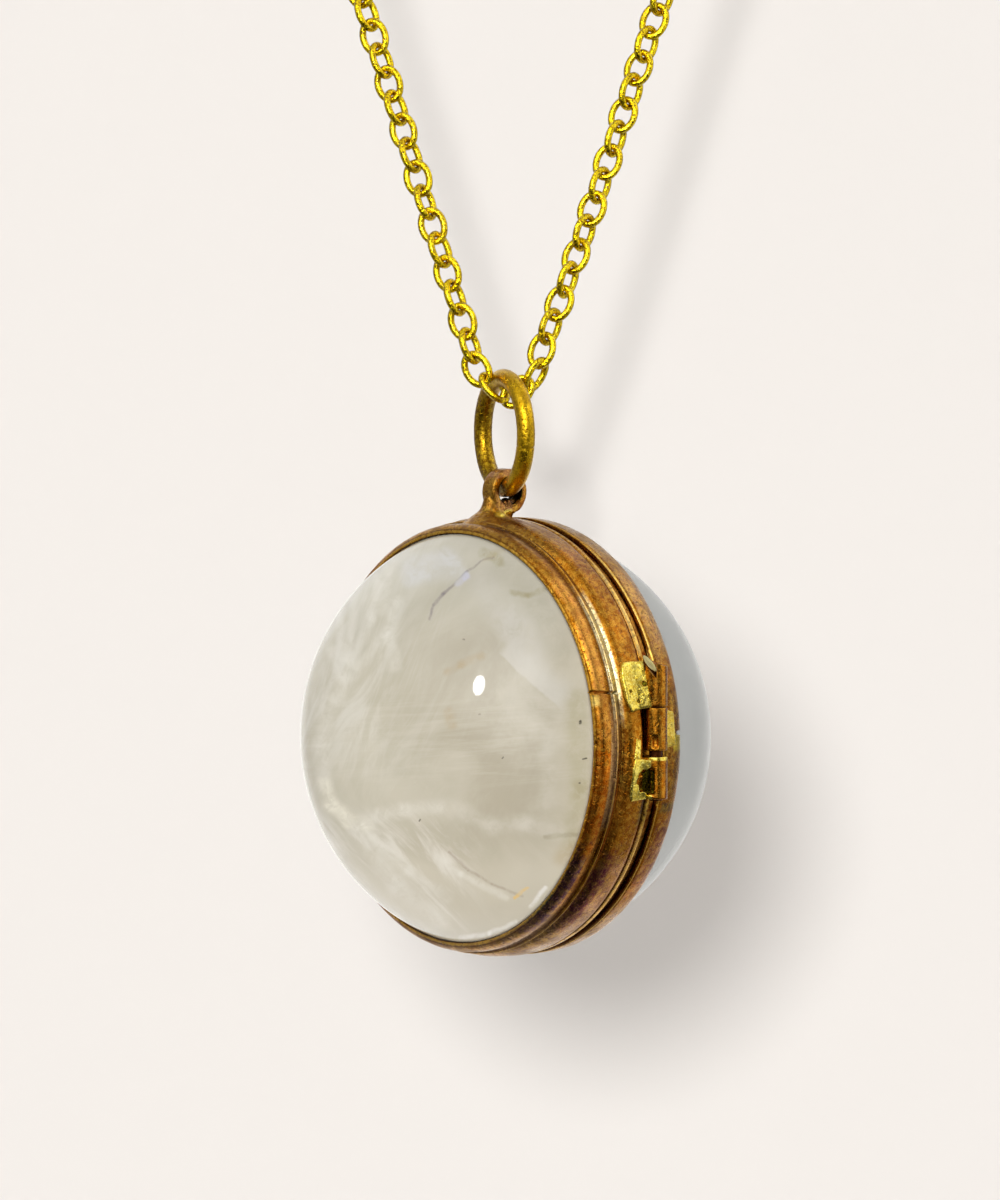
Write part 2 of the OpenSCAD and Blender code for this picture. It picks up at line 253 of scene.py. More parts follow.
def ring_angles():
    """Angles round the locket's axis, close together at the hinge, where up is small."""
    fine = np.radians(np.arange(-20, 24, 0.25))
    coarse = np.radians(np.arange(24, 340, 0.8))
    return np.concatenate([fine, coarse])


def add_ring(shell, outline, shape):
    """Sweeps an outline round the axis.

    shape(angle, forward, radius) gives the hand-made place of a point.
    """
    outline = dense_outline(outline)
    angles = ring_angles()
    points = []
    wear = []
    for angle in angles:
        for forward, radius, worn in outline:
            f, r = shape(angle, forward, radius)
            points.append((r * math.cos(angle), -f, r * math.sin(angle)))
            wear.append(worn)
    shell.add(points, grid_faces(len(angles), len(outline), wrap_rows=True, wrap_columns=True), wear)


def knuckle_pocket(up, forward, radius, low, high, room):
    """The radius cut back where a turning knuckle needs room: a slot with steep walls and a flat floor."""
    across = abs(forward - HINGE_FORWARD) / (KNUCKLE_R + room)
    if not low < up < high or across >= 1 or radius < POCKET_FROM_R:
        return radius
    return min(radius, POCKET_FLOOR_R + (HINGE_SIDE - POCKET_FLOOR_R) * across**6)


def front_shape(angle, forward, radius):
    """The front ring's gentle waves, with the seam in its lip and the middle knuckle's pocket."""
    up = radius * math.sin(angle)
    f, r = forward, radius
    if radius > OUTER_FACE_R:
        r += 0.018 * wave(angle, 3, 3.1 + forward * 0.4)
        r += 0.006 * ripple(math.degrees(angle) * 0.25, forward * 2.2, 1.0, 8.3)
        f += 0.02 * wave(angle, 4, 12.7)
    if math.cos(angle) > NEAR_HINGE:
        seam = abs(up - SEAM_UP - SEAM_LEAN * (forward - SEAM_FORWARD)) / SEAM_HALF
        if forward > LIP_FROM and radius > LIP_FACE_R and seam < 1:
            r -= SEAM_DEPTH * (1 - seam**2)
        r = min(r, knuckle_pocket(up, forward, r, LOWER_JOINT - 0.02, UPPER_JOINT + 0.02, SLOT_ROOM))
    return f, r


def rear_shape(angle, forward, radius):
    """The rear ring's gentle waves, with the nick in its edge and the outer knuckles' pockets."""
    up = radius * math.sin(angle)
    f, r = forward, radius
    if forward < -0.8:
        f -= 0.09 * math.sin(angle) ** 2
    if radius > OUTER_FACE_R:
        r += 0.016 * wave(angle, 3, 5.9)
        f += 0.015 * wave(angle, 4, 2.2)
    if math.cos(angle) > NEAR_HINGE:
        if abs(up - NICK_UP) < NICK_HALF:
            f = max(f, NICK_FORWARD)
        if up > UPPER_JOINT - 0.1:
            r = knuckle_pocket(up, forward, r, UPPER_JOINT - 0.1, HINGE_TOP + 0.6, KNUCKLE_ROOM)
        if up < LOWER_JOINT + 0.05:
            r = knuckle_pocket(up, forward, r, HINGE_BOTTOM - 0.4, LOWER_JOINT + 0.05, KNUCKLE_ROOM)
    return f, r


def seen_across(side, forward):
    """How far right of a point on the hinge's axis another one looks in the photograph."""
    return side * math.cos(LOCKET_TURN) - forward * math.sin(LOCKET_TURN)


def add_rod(shell, radius, low, high, hand=None, round_edge=0.05, bore=0.001, steps=96):
    """A round part on the hinge's axis, with rounded ends.

    hand(side, forward, up) gives the hand-made place of a point and its solder colour.
    """
    profile = [(bore, low), (radius - round_edge, low), (radius - round_edge * 0.3, low + round_edge * 0.3),
               (radius, low + round_edge)]
    levels = max(2, math.ceil((high - low) / 0.09))
    profile += [(radius, low + round_edge + (high - low - 2 * round_edge) * i / levels)
                for i in range(1, levels)]
    profile += [(radius, high - round_edge), (radius - round_edge * 0.3, high - round_edge * 0.3),
                (radius - round_edge, high), (bore, high)]
    points = []
    stain = []
    for i in range(steps):
        a = 2 * math.pi * i / steps
        for r, up in profile:
            side, forward, solder = r * math.cos(a), r * math.sin(a), 0.0
            if hand is not None:
                side, forward, up, solder = hand(side, forward, up)
            points.append((HINGE_SIDE + side, -(HINGE_FORWARD + forward), up))
            stain.append(solder)
    faces = grid_faces(steps, len(profile), wrap_rows=True, wrap_columns=True)
    shell.add(points, faces, 0.15, stain)


def smooth_step(value, start, full):
    """0 at start and 1 at full, with a smooth step between."""
    t = max(0.0, min(1.0, (value - start) / (full - start)))
    return t * t * (3 - 2 * t)


def filed_height(side, forward):
    """The oblique cut through the pin's end, which falls to the right and towards the viewer."""
    toward = side * math.sin(LOCKET_TURN) + forward * math.cos(LOCKET_TURN)
    return FILED_MIDDLE - FILED_SLOPE * (seen_across(side, forward) + PIN_BEND) - FILED_TILT * toward


def upper_knuckle(side, forward, up):
    """Cut back round the pin's leaning end, and pale with solder towards the front."""
    across = seen_across(side, forward)
    lean = 0.21 * (HINGE_TOP - up)
    solder = KNUCKLE_PALE + (1 - KNUCKLE_PALE) * smooth_step(across, -0.68 + lean, -0.8 + lean)
    if up > 3.0:
        filed = filed_height(side, forward) - 0.1
        top = filed if across < 0.05 else max(filed, HINGE_TOP - 0.12 - across * 0.25)
        up = min(up, top, HINGE_TOP)
    return side, forward, up, solder


def middle_knuckle(side, forward, up):
    """Worn, with a hammered notch low on its front."""
    across = seen_across(side, forward)
    notch = (smooth_step(abs(across + 0.03), 0.2, 0.1) * smooth_step(up, 0.5, 0.35)
             * smooth_step(up, -0.2, -0.1))
    scale = 1 - 0.3 * notch if forward > 0 or side > 0 else 1
    return side * scale, forward * scale, up, KNUCKLE_PALE * (1 - notch)


def lower_knuckle(side, forward, up):
    """Eaten away towards the front, where the leaf has its deep pit."""
    across = seen_across(side, forward)
    pit = smooth_step(across, -0.06, -0.16) * smooth_step(up, -2.8, -2.6) * smooth_step(up, -1.3, -1.5)
    pale = smooth_step(up, -0.95, -0.85) + smooth_step(across, -0.1, -0.3) * smooth_step(up, -2.2, -2.5)
    scale = 1 - 0.35 * pit
    return side * scale, forward * scale, up, min(1.0, pale) * (1 - pit) - 0.9 * pit


def pin_end(side, forward, up):
    """The pin's upper end leans to the front and is filed off obliquely."""
    bend = smooth_step(up, 3.3, 4.1)
    side -= PIN_BEND * 0.6 * bend
    forward += PIN_BEND * 0.8 * bend
    filed = filed_height(side, forward)
    solder = 1.0 if up > filed - 0.02 else 0.0
    return side, forward, min(up, filed) if up > 3.5 else up, solder


def add_leaf(shell, outer, corners, solder, pits, steps=44, bulge=0.0, sink=0.14, rise=0.0):
    """A hammered leaf that lies on the band.

    corners are (forward, up) at the rear low, front low, front high and rear high corner, and
    pits are (forward, up, size, depth). The front edge bulges out, the border sinks in, and the
    leaf rises to its knuckle.
    """
    rear_low, front_low, front_high, rear_high = [np.array(c, float) for c in corners]
    border = 2
    edge_band = 0.07
    points = []
    wear = []
    stain = []
    for i in range(-border, steps + border + 1):
        u = min(max(i / steps, 0), 1)
        for k in range(-border, steps + border + 1):
            v = min(max(k / steps, 0), 1)
            low = rear_low + (front_low - rear_low) * u
            high = rear_high + (front_high - rear_high) * u
            forward, up = low + (high - low) * v
            forward += bulge * (1 - (2 * v - 1) ** 4) * u
            edge = min(u, 1 - u, v, 1 - v)
            beyond = max(-i, i - steps, -k, k - steps, 0)
            wobble = 0.035 * ripple(forward, up, 1.6, 4.4) if edge == 0 else 0
            radius = outer + 0.03 * ripple(forward, up, 1.1, 7.7) + 0.014 * ripple(forward, up, 5.0, 1.7)
            radius += rise * smooth_step(forward, 1.75, 0.75)
            radius -= sink * 0.5 * max(0, 1 - edge / edge_band) ** 2
            stained = solder
            for pit_forward, pit_up, size, depth in pits:
                near = math.hypot(forward - pit_forward, (up - pit_up) * 0.8) / size
                near += 0.35 * ripple(forward, up, 4.0, 5.5)
                if near < 1:
                    radius -= depth * min(1.0, 2 * (1 - near**2))
                    stained = solder - 1.9 * min(1.0, 3 * (1 - near))
            if beyond:
                radius = outer - (sink if beyond == 1 else outer - LEAF_FOOT_R)
            side = math.sqrt(radius**2 - up**2)
            points.append((side, -(forward + wobble), up + wobble))
            wear.append(0.6 if edge < 0.03 else 0.1)
            stain.append(stained)
    count = steps + 2 * border + 1
    faces = grid_faces(count, count)
    rim = list(range(count))
    rim += [i * count + count - 1 for i in range(1, count)]
    rim += [(count - 1) * count + k for k in range(count - 2, -1, -1)]
    rim += [i * count for i in range(count - 2, 0, -1)]
    faces.append(tuple(rim))
    shell.add(points, faces, wear, stain)


def squared_off(value):
    """A sine or cosine pushed towards 1 and -1, which makes a round section a soft rectangle."""
    return math.copysign(abs(value) ** 0.42, value)


def eye_ring():
    """Points and faces of the eye, which is thick along its hole."""
    rings, around = 96, 32
    mid, half_wall = (EYE_R + EYE_HOLE_R) / 2, (EYE_R - EYE_HOLE_R) / 2
    points = []
    for i in range(rings):
        a = 2 * math.pi * i / rings
        for k in range(around):
            t = 2 * math.pi * k / around
            r = mid + half_wall * squared_off(math.cos(t))
            along = EYE_HALF * squared_off(math.sin(t))
            points.append((EYE_SIDE + along, -EYE_FORWARD + r * math.sin(a), EYE_UP + r * math.cos(a)))
    return points, grid_faces(rings, around, wrap_rows=True, wrap_columns=True)


def eye_foot():
    """Points and faces of the flared foot under the eye."""
    steps = 48
    points = []
    for up, radius, forward in FOOT_SECTIONS:
        for i in range(steps):
            a = 2 * math.pi * i / steps
            points.append((EYE_SIDE + radius * math.cos(a), -(forward + radius * math.sin(a)), up))
    return points, capped_faces(len(FOOT_SECTIONS), steps)


def eye_and_foot():
    """The eye and its flared, soldered foot, blended into one mesh by a fine voxel remesh."""
    shell = Shell()
    shell.add(*eye_ring())
    shell.add(*eye_foot())
    for side, forward, up, size in SOLDER_DROPS:
        ball = bmesh.new()
        bmesh.ops.create_icosphere(ball, subdivisions=3, radius=size)
        shell.add([(v.co.x + side, v.co.y - forward, v.co.z + up) for v in ball.verts],
                  [[v.index for v in f.verts] for f in ball.faces])
        ball.free()
    rough = shell.piece("eye_rough", None)
    remesh = rough.modifiers.new("Blend", "REMESH")
    remesh.mode = "VOXEL"
    remesh.voxel_size = 0.045 * MM
    soften = rough.modifiers.new("Soften", "SMOOTH")
    soften.factor = 0.5
    soften.iterations = 6
    evaluated = rough.evaluated_get(bpy.context.evaluated_depsgraph_get())
    mesh = bpy.data.meshes.new_from_object(evaluated)
    points = []
    wear = []
    solder = []
    for v in mesh.vertices:
        p = np.array(v.co) / MM
        hole = math.hypot(p[1] + EYE_FORWARD, p[2] - EYE_UP)
        # Painted shade: the hole's wall is darkened through low wear, and its upper part turns near black
        # through a solder value far below zero.
        inside = smooth_step(hole, EYE_HOLE_R + 0.16, EYE_HOLE_R + 0.07)
        wear.append(0.15 - 2.4 * inside)
        low = max(0.0, min(1.0, (12.75 - p[2]) / 0.5)) * max(0.0, min(1.0, (p[2] - 11.8) / 0.3))
        bumps = 0.03 * low * noise.noise(Vector(p) * 4.5) + 0.008 * noise.noise(Vector(p) * 9)
        points.append(p + np.array(v.normal) * bumps)
        solder.append(low * (0.3 + 0.7 * noise.noise(Vector(p) * 1.6)) - 2.2 * inside * (p[2] > 12.9))
    faces = [tuple(f.vertices) for f in mesh.polygons]
    bpy.data.objects.remove(rough)
    return points, faces, wear, solder


def build_front_bezel():
    shell = Shell()
    add_ring(shell, FRONT_OUTLINE, front_shape)
    top_pits = [(1.2, 3.3, 0.14, 0.03), (2.05, 2.9, 0.1, 0.03), (0.95, 2.5, 0.16, 0.03),
                (1.6, 2.35, 0.11, 0.03)]
    low_pits = [(0.95, -1.98, 0.62, 0.3)]
    upper_leaf = [(0.5, 2.1), (2.1, 1.76), (2.15, 4.46), (0.6, 4.5)]
    lower_leaf = [(0.45, -2.85), (1.85, -3.12), (1.85, -0.75), (0.5, -0.9)]
    small_leaf = [(1.52, -0.85), (1.95, -0.85), (1.78, 0.35), (1.5, 0.3)]
    add_leaf(shell, 12.16, upper_leaf, 1.0, top_pits, bulge=0.24, rise=0.42)
    add_leaf(shell, 12.12, lower_leaf, 0.9, low_pits, bulge=0.2, rise=0.3)
    add_leaf(shell, 12.06, small_leaf, 0.8, [], steps=16)
    bore = PIN_R + PIN_CLEARANCE
    add_rod(shell, KNUCKLE_R, UPPER_JOINT, HINGE_TOP + 0.05, upper_knuckle, bore=bore)
    add_rod(shell, KNUCKLE_R, HINGE_BOTTOM, LOWER_JOINT, lower_knuckle, bore=bore)
    shell.add(*eye_and_foot())
    return shell.piece("front_bezel_ring", LOCKET_PLACE)


def build_rear_bezel():
    shell = Shell()
    add_ring(shell, REAR_OUTLINE, rear_shape)
    add_rod(shell, KNUCKLE_R, MIDDLE_END, UPPER_JOINT - 0.07, middle_knuckle, bore=PIN_R + PIN_CLEARANCE)
    leaf = [(-1.1, MIDDLE_END + 0.25), (-0.05, MIDDLE_END + 0.05), (-0.05, UPPER_JOINT - 0.12),
            (-1.0, UPPER_JOINT - 0.35)]
    add_leaf(shell, 11.98, leaf, 0.5, [], steps=24, sink=0.05)
    return shell.piece("rear_bezel_ring", LOCKET_PLACE)


def build_pin():
    shell = Shell()
    add_rod(shell, PIN_R, HINGE_BOTTOM - 0.08, HINGE_TOP + 0.5, pin_end, round_edge=0.02)
    return shell.piece("hinge_pin_rod", LOCKET_PLACE)


def build_crystal(name, dome, flip):
    """A dome on a straight girdle with a flat back. flip is 1 for the front crystal and -1 for the rear."""
    radius, centre, flat = dome
    meet = centre + flip * math.sqrt(radius**2 - GIRDLE_R**2)
    steps, rings = 256, 72
    profile = [(0.0, flat), (GIRDLE_R * 0.5, flat), (GIRDLE_R - 0.25, flat),
               (GIRDLE_R - 0.06, flat + flip * 0.02), (GIRDLE_R, flat + flip * 0.1)]
    profile += [(GIRDLE_R, flat + (meet - flat) * i / 6) for i in range(1, 6)]
    start = math.asin(GIRDLE_R / radius)
    for i in range(rings + 1):
        t = start * (1 - i / rings)
        profile.append((radius * math.sin(t), centre + flip * radius * math.cos(t)))
    points = [(0, -profile[0][1], 0)]
    for r, forward in profile[1:-1]:
        points += [(r * math.cos(2 * math.pi * k / steps), -forward, r * math.sin(2 * math.pi * k / steps))
                   for k in range(steps)]
    points.append((0, -profile[-1][1], 0))
    faces = grid_faces(len(profile) - 2, steps, wrap_columns=True, start=1)
    last = len(points) - 1
    faces += [(0, 1 + k, 1 + (k + 1) % steps) for k in range(steps)]
    faces += [(last, last - steps + (k + 1) % steps, last - steps + k) for k in range(steps)]
    return add_mesh(name, points, faces, LOCKET_PLACE)


def build_jump_ring():
    """The round wire ring, a little uneven, with its closed joint on the near limb."""
    shell = Shell()
    rings, around = 240, 36
    points = []
    joint = math.radians(12)
    for i in range(rings):
        a = 2 * math.pi * i / rings
        cut = max(0, 1 - (math.degrees(abs(a - (2 * math.pi - joint))) / 0.9) ** 2)
        wire = JUMP_WIRE_R * (1 + 0.012 * wave(a, 2, 1.1)) - 0.03 * cut
        for k in range(around):
            t = 2 * math.pi * k / around
            r = JUMP_MID_R + wire * math.cos(t)
            points.append((r * math.cos(a), wire * math.sin(t), r * math.sin(a)))
    shell.add(points, grid_faces(rings, around, wrap_rows=True, wrap_columns=True), 0.0, 0.0)
    return shell.piece("jump_ring_wire", RING_PLACE)


def build_clasp():
    """The hidden barrel clasp at the nape: two turned halves with a fine joint between them."""
    half = [(0.05, 1.27), (0.12, 1.3), (2.2, 1.3), (2.55, 1.29), (2.8, 1.24), (3.3, 1.05), (3.9, 0.8),
            (CLASP_HALF, 0.75)]
    profile = [(-along, r) for along, r in reversed(half)] + [(0.0, 1.2)] + half
    steps = 64
    points = []
    for along, r in profile:
        points += [(along, r * math.cos(2 * math.pi * k / steps), r * math.sin(2 * math.pi * k / steps))
                   for k in range(steps)]
    return add_mesh("barrel_clasp", points, capped_faces(len(profile), steps))


# The chain's route, repeated from the part, from the left end of the turn at the jump ring over the
# nape and back down. The turn itself follows the two links that lie under the ring's wire.
CLASP_SIDE = [(4.1, 0, 0), (13, -0.3, 0), (24, -2.8, -0.3), (35, -7.8, -1), (45.5, -15.4, -2.4),
              (53.8, -26, -4.9), (59.2, -38.5, -9), (61.2, -51, -16.5), (59.6, -62, -28), (55, -70.2, -42)]
RIGHT_STRAND = [(48.2, -76, -60), (34.6, -87.7, -100), (17.5, -102.4, -150), (5.6, -112.7, -185),
                (0.5, -117.1, -200), (-0.54, -117.75, -202.8)]
LEFT_STRAND = [(-48.8, -76, -60), (-36.3, -87.7, -100), (-20.7, -102.4, -150), (-9.8, -112.7, -185),
               (-5.1, -117.1, -200), (-4.35, -117.6, -202.38)]
LEFT_TURN = [(-3.94, -118, -203.7), (-3.05, -118.1, -204.59)]
RIGHT_TURN = [(-0.88, -118, -204.05), (-1.79, -118, -204.82)]


def rounded_route(points):
    """A smooth line through the points, a short step apart. Its two ends meet in one more link's pitch."""
    p = [Vector(q) for q in points]
    slopes = []
    for before, here, after in zip(p[-1:] + p[:-1], p, p[1:] + p[:1]):
        a, b = here - before, after - here
        slopes.append((a / a.length * b.length + b / b.length * a.length).normalized())
    line = []
    for i in range(len(p) - 1):
        length = (p[i + 1] - p[i]).length
        steps = max(6, math.ceil(length / 0.5))
        for k in range(steps):
            t = k / steps
            s = 1 - t
            line.append(p[i] * s * s * (1 + 2 * t) + p[i + 1] * t * t * (3 - 2 * t)
                        + slopes[i] * length * s * s * t - slopes[i + 1] * length * t * t * s)
    return line + [p[-1]]


def chain_line():
    mirrored = [(-x, y, z) for x, y, z in CLASP_SIDE]
    return rounded_route(LEFT_TURN[::-1] + LEFT_STRAND[::-1] + mirrored[::-1] + CLASP_SIDE + RIGHT_STRAND
                         + RIGHT_TURN)


def even_pitch(line):
    """The pitch nearest to the links' own that fits an even number of links on the route."""
    length = sum((b - a).length for a, b in zip(line, line[1:]))
    return length / (2 * round(length / LINK_PITCH / 2) - 1 + 0.001) * MM


def chain_curve(line):
    curve = bpy.data.curves.new("chain_route", "CURVE")
    curve.dimensions = "3D"
    spline = curve.splines.new("POLY")
    spline.points.add(len(line) - 1)
    for point, place in zip(spline.points, line):
        point.co = (*(place * MM), 1)
    made = bpy.data.objects.new("chain_route", curve)
    collection.objects.link(made)
    return made


class Wiring:
    """A short way to write a tree of nodes. Inputs go by name, with _ for a space."""

    def __init__(self, tree):
        self.tree = tree
        self.nodes = tree.nodes

    def feed(self, socket, value):
        if isinstance(value, bpy.types.NodeSocket):
            self.tree.links.new(value, socket)
        elif isinstance(value, bpy.types.Node):
            self.tree.links.new(value.outputs[0], socket)
        else:
            socket.default_value = value

    def fill(self, made, **inputs):
        for name, value in inputs.items():
            self.feed(made.inputs[name.replace("_", " ")], value)
        return made

    def node(self, kind, settings=None, **inputs):
        made = self.nodes.new(kind)
        for name, value in (settings or {}).items():
            setattr(made, name, value)
        return self.fill(made, **inputs)

    def math(self, operation, first, second, clamp=False):
        made = self.node("ShaderNodeMath", {"operation": operation, "use_clamp": clamp})
        self.feed(made.inputs[0], first)
        self.feed(made.inputs[1], second)
        return made.outputs[0]

    def plus(self, first, second, clamp=False):
        return self.math("ADD", first, second, clamp)

    def minus(self, first, second):
        return self.math("SUBTRACT", first, second)

    def times(self, first, second):
        return self.math("MULTIPLY", first, second)

    def vector(self, operation, *values, output="Vector"):
        made = self.node("ShaderNodeVectorMath", {"operation": operation})
        sockets = (made.inputs[0], made.inputs["Scale"]) if operation == "SCALE" else made.inputs
        for socket, value in zip(sockets, values):
            self.feed(socket, value)
        return made.outputs[output]

    def dot(self, first, second):
        return self.vector("DOT_PRODUCT", first, second, output="Value")

    def mix(self, factor, first, second):
        """A mix of two colours, which are the seventh and eighth sockets of the node."""
        made = self.node("ShaderNodeMix", {"data_type": "RGBA"})
        self.feed(made.inputs[0], factor)
        self.feed(made.inputs[6], first)
        self.feed(made.inputs[7], second)
        return made.outputs[2]

    def either(self, factor, first, second):
        """A mix of two shaders."""
        made = self.node("ShaderNodeMixShader")
        for socket, value in zip(made.inputs, (factor, first, second)):
            self.feed(socket, value)
        return made

    def ramp(self, value, low, high, start=0.0, end=1.0):
        """From start at low to end at high, with a smooth step between. Low may be the greater one."""
        made = self.node("ShaderNodeMapRange", {"interpolation_type": "SMOOTHSTEP", "clamp": False},
                         Value=value, From_Min=low, From_Max=high, To_Min=start, To_Max=end)
        return made.outputs["Result"]

    def zone(self, value, rise, full, fall, gone):
        """1 between full and fall, and 0 below rise and above gone."""
        return self.times(self.ramp(value, rise, full), self.ramp(value, gone, fall))

    def noise(self, vector, scale, detail=4.0, roughness=0.55, distortion=0.0, output="Fac"):
        made = self.node("ShaderNodeTexNoise", Vector=vector, Scale=scale, Detail=detail,
                         Roughness=roughness, Distortion=distortion)
        return made.outputs[output]

    def attribute(self, name):
        return self.node("ShaderNodeAttribute", {"attribute_name": name}).outputs["Fac"]

    def group(self, tree, **inputs):
        return self.node("ShaderNodeGroup", {"node_tree": tree}, **inputs)

    def mapping(self, place=(0, 0, 0), turn=(0, 0, 0)):
        """Object coordinates in millimetres, turned and then moved."""
        coordinates = self.node("ShaderNodeTexCoord")
        made = self.node("ShaderNodeMapping", Vector=coordinates.outputs["Object"], Location=place,
                         Rotation=turn, Scale=(1 / MM,) * 3)
        return made.outputs["Vector"]


def add_inputs(tree, inputs):
    """Named inputs of a group, each with its kind and its usual value."""
    sockets = {}
    for name, kind, value in inputs:
        sockets[name] = tree.interface.new_socket(name, in_out="INPUT", socket_type=kind)
        if value is not None:
            sockets[name].default_value = value
    return sockets


def in_use(sockets, name=None):
    """The first socket in use, as some nodes keep one of the same name for each kind of value."""
    return next(s for s in sockets if s.enabled and name in (None, s.name))


LINK_INPUTS = [("Route", SHAPE, None), ("Pitch", NUMBER, LINK_PITCH * MM),
               ("Link Length", NUMBER, LINK_LENGTH * MM), ("Link Width", NUMBER, LINK_WIDTH * MM),
               ("Wire", NUMBER, LINK_WIRE * MM), ("Link Steps", WHOLE, 24), ("Wire Sides", WHOLE, 7),
               ("Lowest", NUMBER, -1.0), ("Highest", NUMBER, 1.0), ("Clasp Half", NUMBER, CLASP_HALF * MM),
               ("First Turn", NUMBER, math.radians(50)), ("Link Turn", NUMBER, math.radians(-70)),
               ("Unevenness", NUMBER, 0.1), ("Seed", WHOLE, 3)]


def link_tree(metal):
    """Geometry Nodes that set a closed oval wire link at each step of a route, turned from the last one."""
    tree = bpy.data.node_groups.new("Cable Chain", "GeometryNodeTree")
    sockets = add_inputs(tree, LINK_INPUTS)
    tree.interface.new_socket("Links", in_out="OUTPUT", socket_type=SHAPE)
    f = Wiring(tree)
    given = f.node("NodeGroupInput").outputs

    # One oval link of round wire, standing on end
    circle = f.node("GeometryNodeCurvePrimitiveCircle", Radius=0.5, Resolution=given["Link Steps"])
    oval = f.node("ShaderNodeCombineXYZ", X=f.minus(given["Link Width"], given["Wire"]),
                  Y=f.minus(given["Link Length"], given["Wire"]), Z=1.0)
    outline = f.node("GeometryNodeTransform", Geometry=circle, Scale=oval)
    section = f.node("GeometryNodeCurvePrimitiveCircle", Resolution=given["Wire Sides"],
                     Radius=f.times(given["Wire"], 0.5))
    wire = f.node("GeometryNodeCurveToMesh", Curve=outline, Profile_Curve=section)
    link = f.node("GeometryNodeTransform", Geometry=wire, Rotation=(math.pi / 2, 0, 0))

    # Places along the route, each with its direction, which always points up, and its roll about it
    places = f.node("GeometryNodeResampleCurve", {"mode": "LENGTH"}, Curve=given["Route"],
                    Length=given["Pitch"])
    tangent = f.node("GeometryNodeInputTangent")
    rising = f.math("GREATER_THAN", f.node("ShaderNodeSeparateXYZ", Vector=tangent).outputs["Z"], 0.0)
    direction = f.vector("SCALE", tangent, f.minus(f.times(rising, 2.0), 1.0))
    odd = f.math("MODULO", f.node("GeometryNodeInputIndex"), 2.0)
    chance = f.node("FunctionNodeRandomValue", {"data_type": "FLOAT"}, Seed=given["Seed"])
    f.feed(in_use(chance.inputs, "Min"), f.times(given["Unevenness"], -1.0))
    f.feed(in_use(chance.inputs, "Max"), given["Unevenness"])
    roll = f.plus(given["First Turn"], f.times(odd, given["Link Turn"]))
    roll = f.plus(roll, in_use(chance.outputs))
    for name, value, kind in (("direction", direction, "FLOAT_VECTOR"), ("roll", roll, "FLOAT")):
        places = f.node("GeometryNodeStoreNamedAttribute", {"data_type": kind, "domain": "POINT"},
                        Geometry=places, Name=name, Value=value)
    points = f.node("GeometryNodeCurveToPoints", {"mode": "EVALUATED"}, Curve=places)

    # Links outside the wanted heights, and those that the clasp takes the place of, are left out
    across, _, up = f.node("ShaderNodeSeparateXYZ", Vector=f.node("GeometryNodeInputPosition")).outputs
    outside = f.math("MAXIMUM", f.math("LESS_THAN", up, given["Lowest"]),
                     f.math("GREATER_THAN", up, given["Highest"]))
    in_clasp = f.times(f.math("LESS_THAN", f.math("ABSOLUTE", across, 0.0), given["Clasp Half"]),
                       f.math("GREATER_THAN", up, CLASP_ZONE_LOW))
    kept = f.node("GeometryNodeDeleteGeometry", {"domain": "POINT"}, Geometry=points,
                  Selection=f.math("MAXIMUM", outside, in_clasp))

    def stored(name, kind):
        return in_use(f.node("GeometryNodeInputNamedAttribute", {"data_type": kind}, Name=name).outputs)

    # Each link is turned to the route and rolled about it, then made real and given its metal
    along = f.node("FunctionNodeAlignRotationToVector", {"axis": "Z"},
                   Vector=stored("direction", "FLOAT_VECTOR"))
    about = f.node("FunctionNodeAxisAngleToRotation", Axis=(0, 0, 1), Angle=stored("roll", "FLOAT"))
    turned = f.node("FunctionNodeRotateRotation", {"rotation_space": "LOCAL"}, Rotation=along,
                    Rotate_By=about)
    copies = f.node("GeometryNodeInstanceOnPoints", Points=kept, Instance=link, Rotation=turned)
    real = f.node("GeometryNodeRealizeInstances", Geometry=copies)
    smooth = f.node("GeometryNodeSetShadeSmooth", Geometry=real)
    coated = f.node("GeometryNodeSetMaterial", Geometry=smooth, Material=metal)
    f.node("NodeGroupOutput", Links=coated)
    return tree, sockets


def build_links(name, line, tree, sockets, values, metal):
    """Runs the link tree on the route with the given inputs and keeps the result as a plain mesh."""
    host = chain_curve(line)
    modifier = host.modifiers.new("Links", "NODES")
    modifier.node_group = tree
    for key, value in values.items():
        modifier[sockets[key].identifier] = value
    evaluated = host.evaluated_get(bpy.context.evaluated_depsgraph_get())
    mesh = bpy.data.meshes.new_from_object(evaluated)
    mesh.name = name
    for extra in ("direction", "roll"):
        if extra in mesh.attributes:
            mesh.attributes.remove(mesh.attributes[extra])
    bpy.data.objects.remove(host)
    piece = bpy.data.objects.new(name, mesh)
    collection.objects.link(piece)
    paint(piece, metal)
    return piece


def paint(piece, material):
    piece.data.materials.clear()
    piece.data.materials.append(material)


def srgb(red, green, blue):
    """A colour given as 0 to 255 values, as Blender's linear colour."""
    shares = [c / 255 for c in (red, green, blue)]
    return (*[((c + 0.055) / 1.055) ** 2.4 if c > 0.04 else c / 12.92 for c in shares], 1)


def group_tree(name, inputs, outputs):
    """A shader node group with named inputs and outputs, and what is given to it."""
    tree = bpy.data.node_groups.new(name, "ShaderNodeTree")
    add_inputs(tree, inputs)
    for label, kind in outputs:
        tree.interface.new_socket(label, in_out="OUTPUT", socket_type=kind)
    given = tree.nodes.new("NodeGroupInput").outputs
    result = tree.nodes.new("NodeGroupOutput")
    return tree, Wiring(tree), given, result


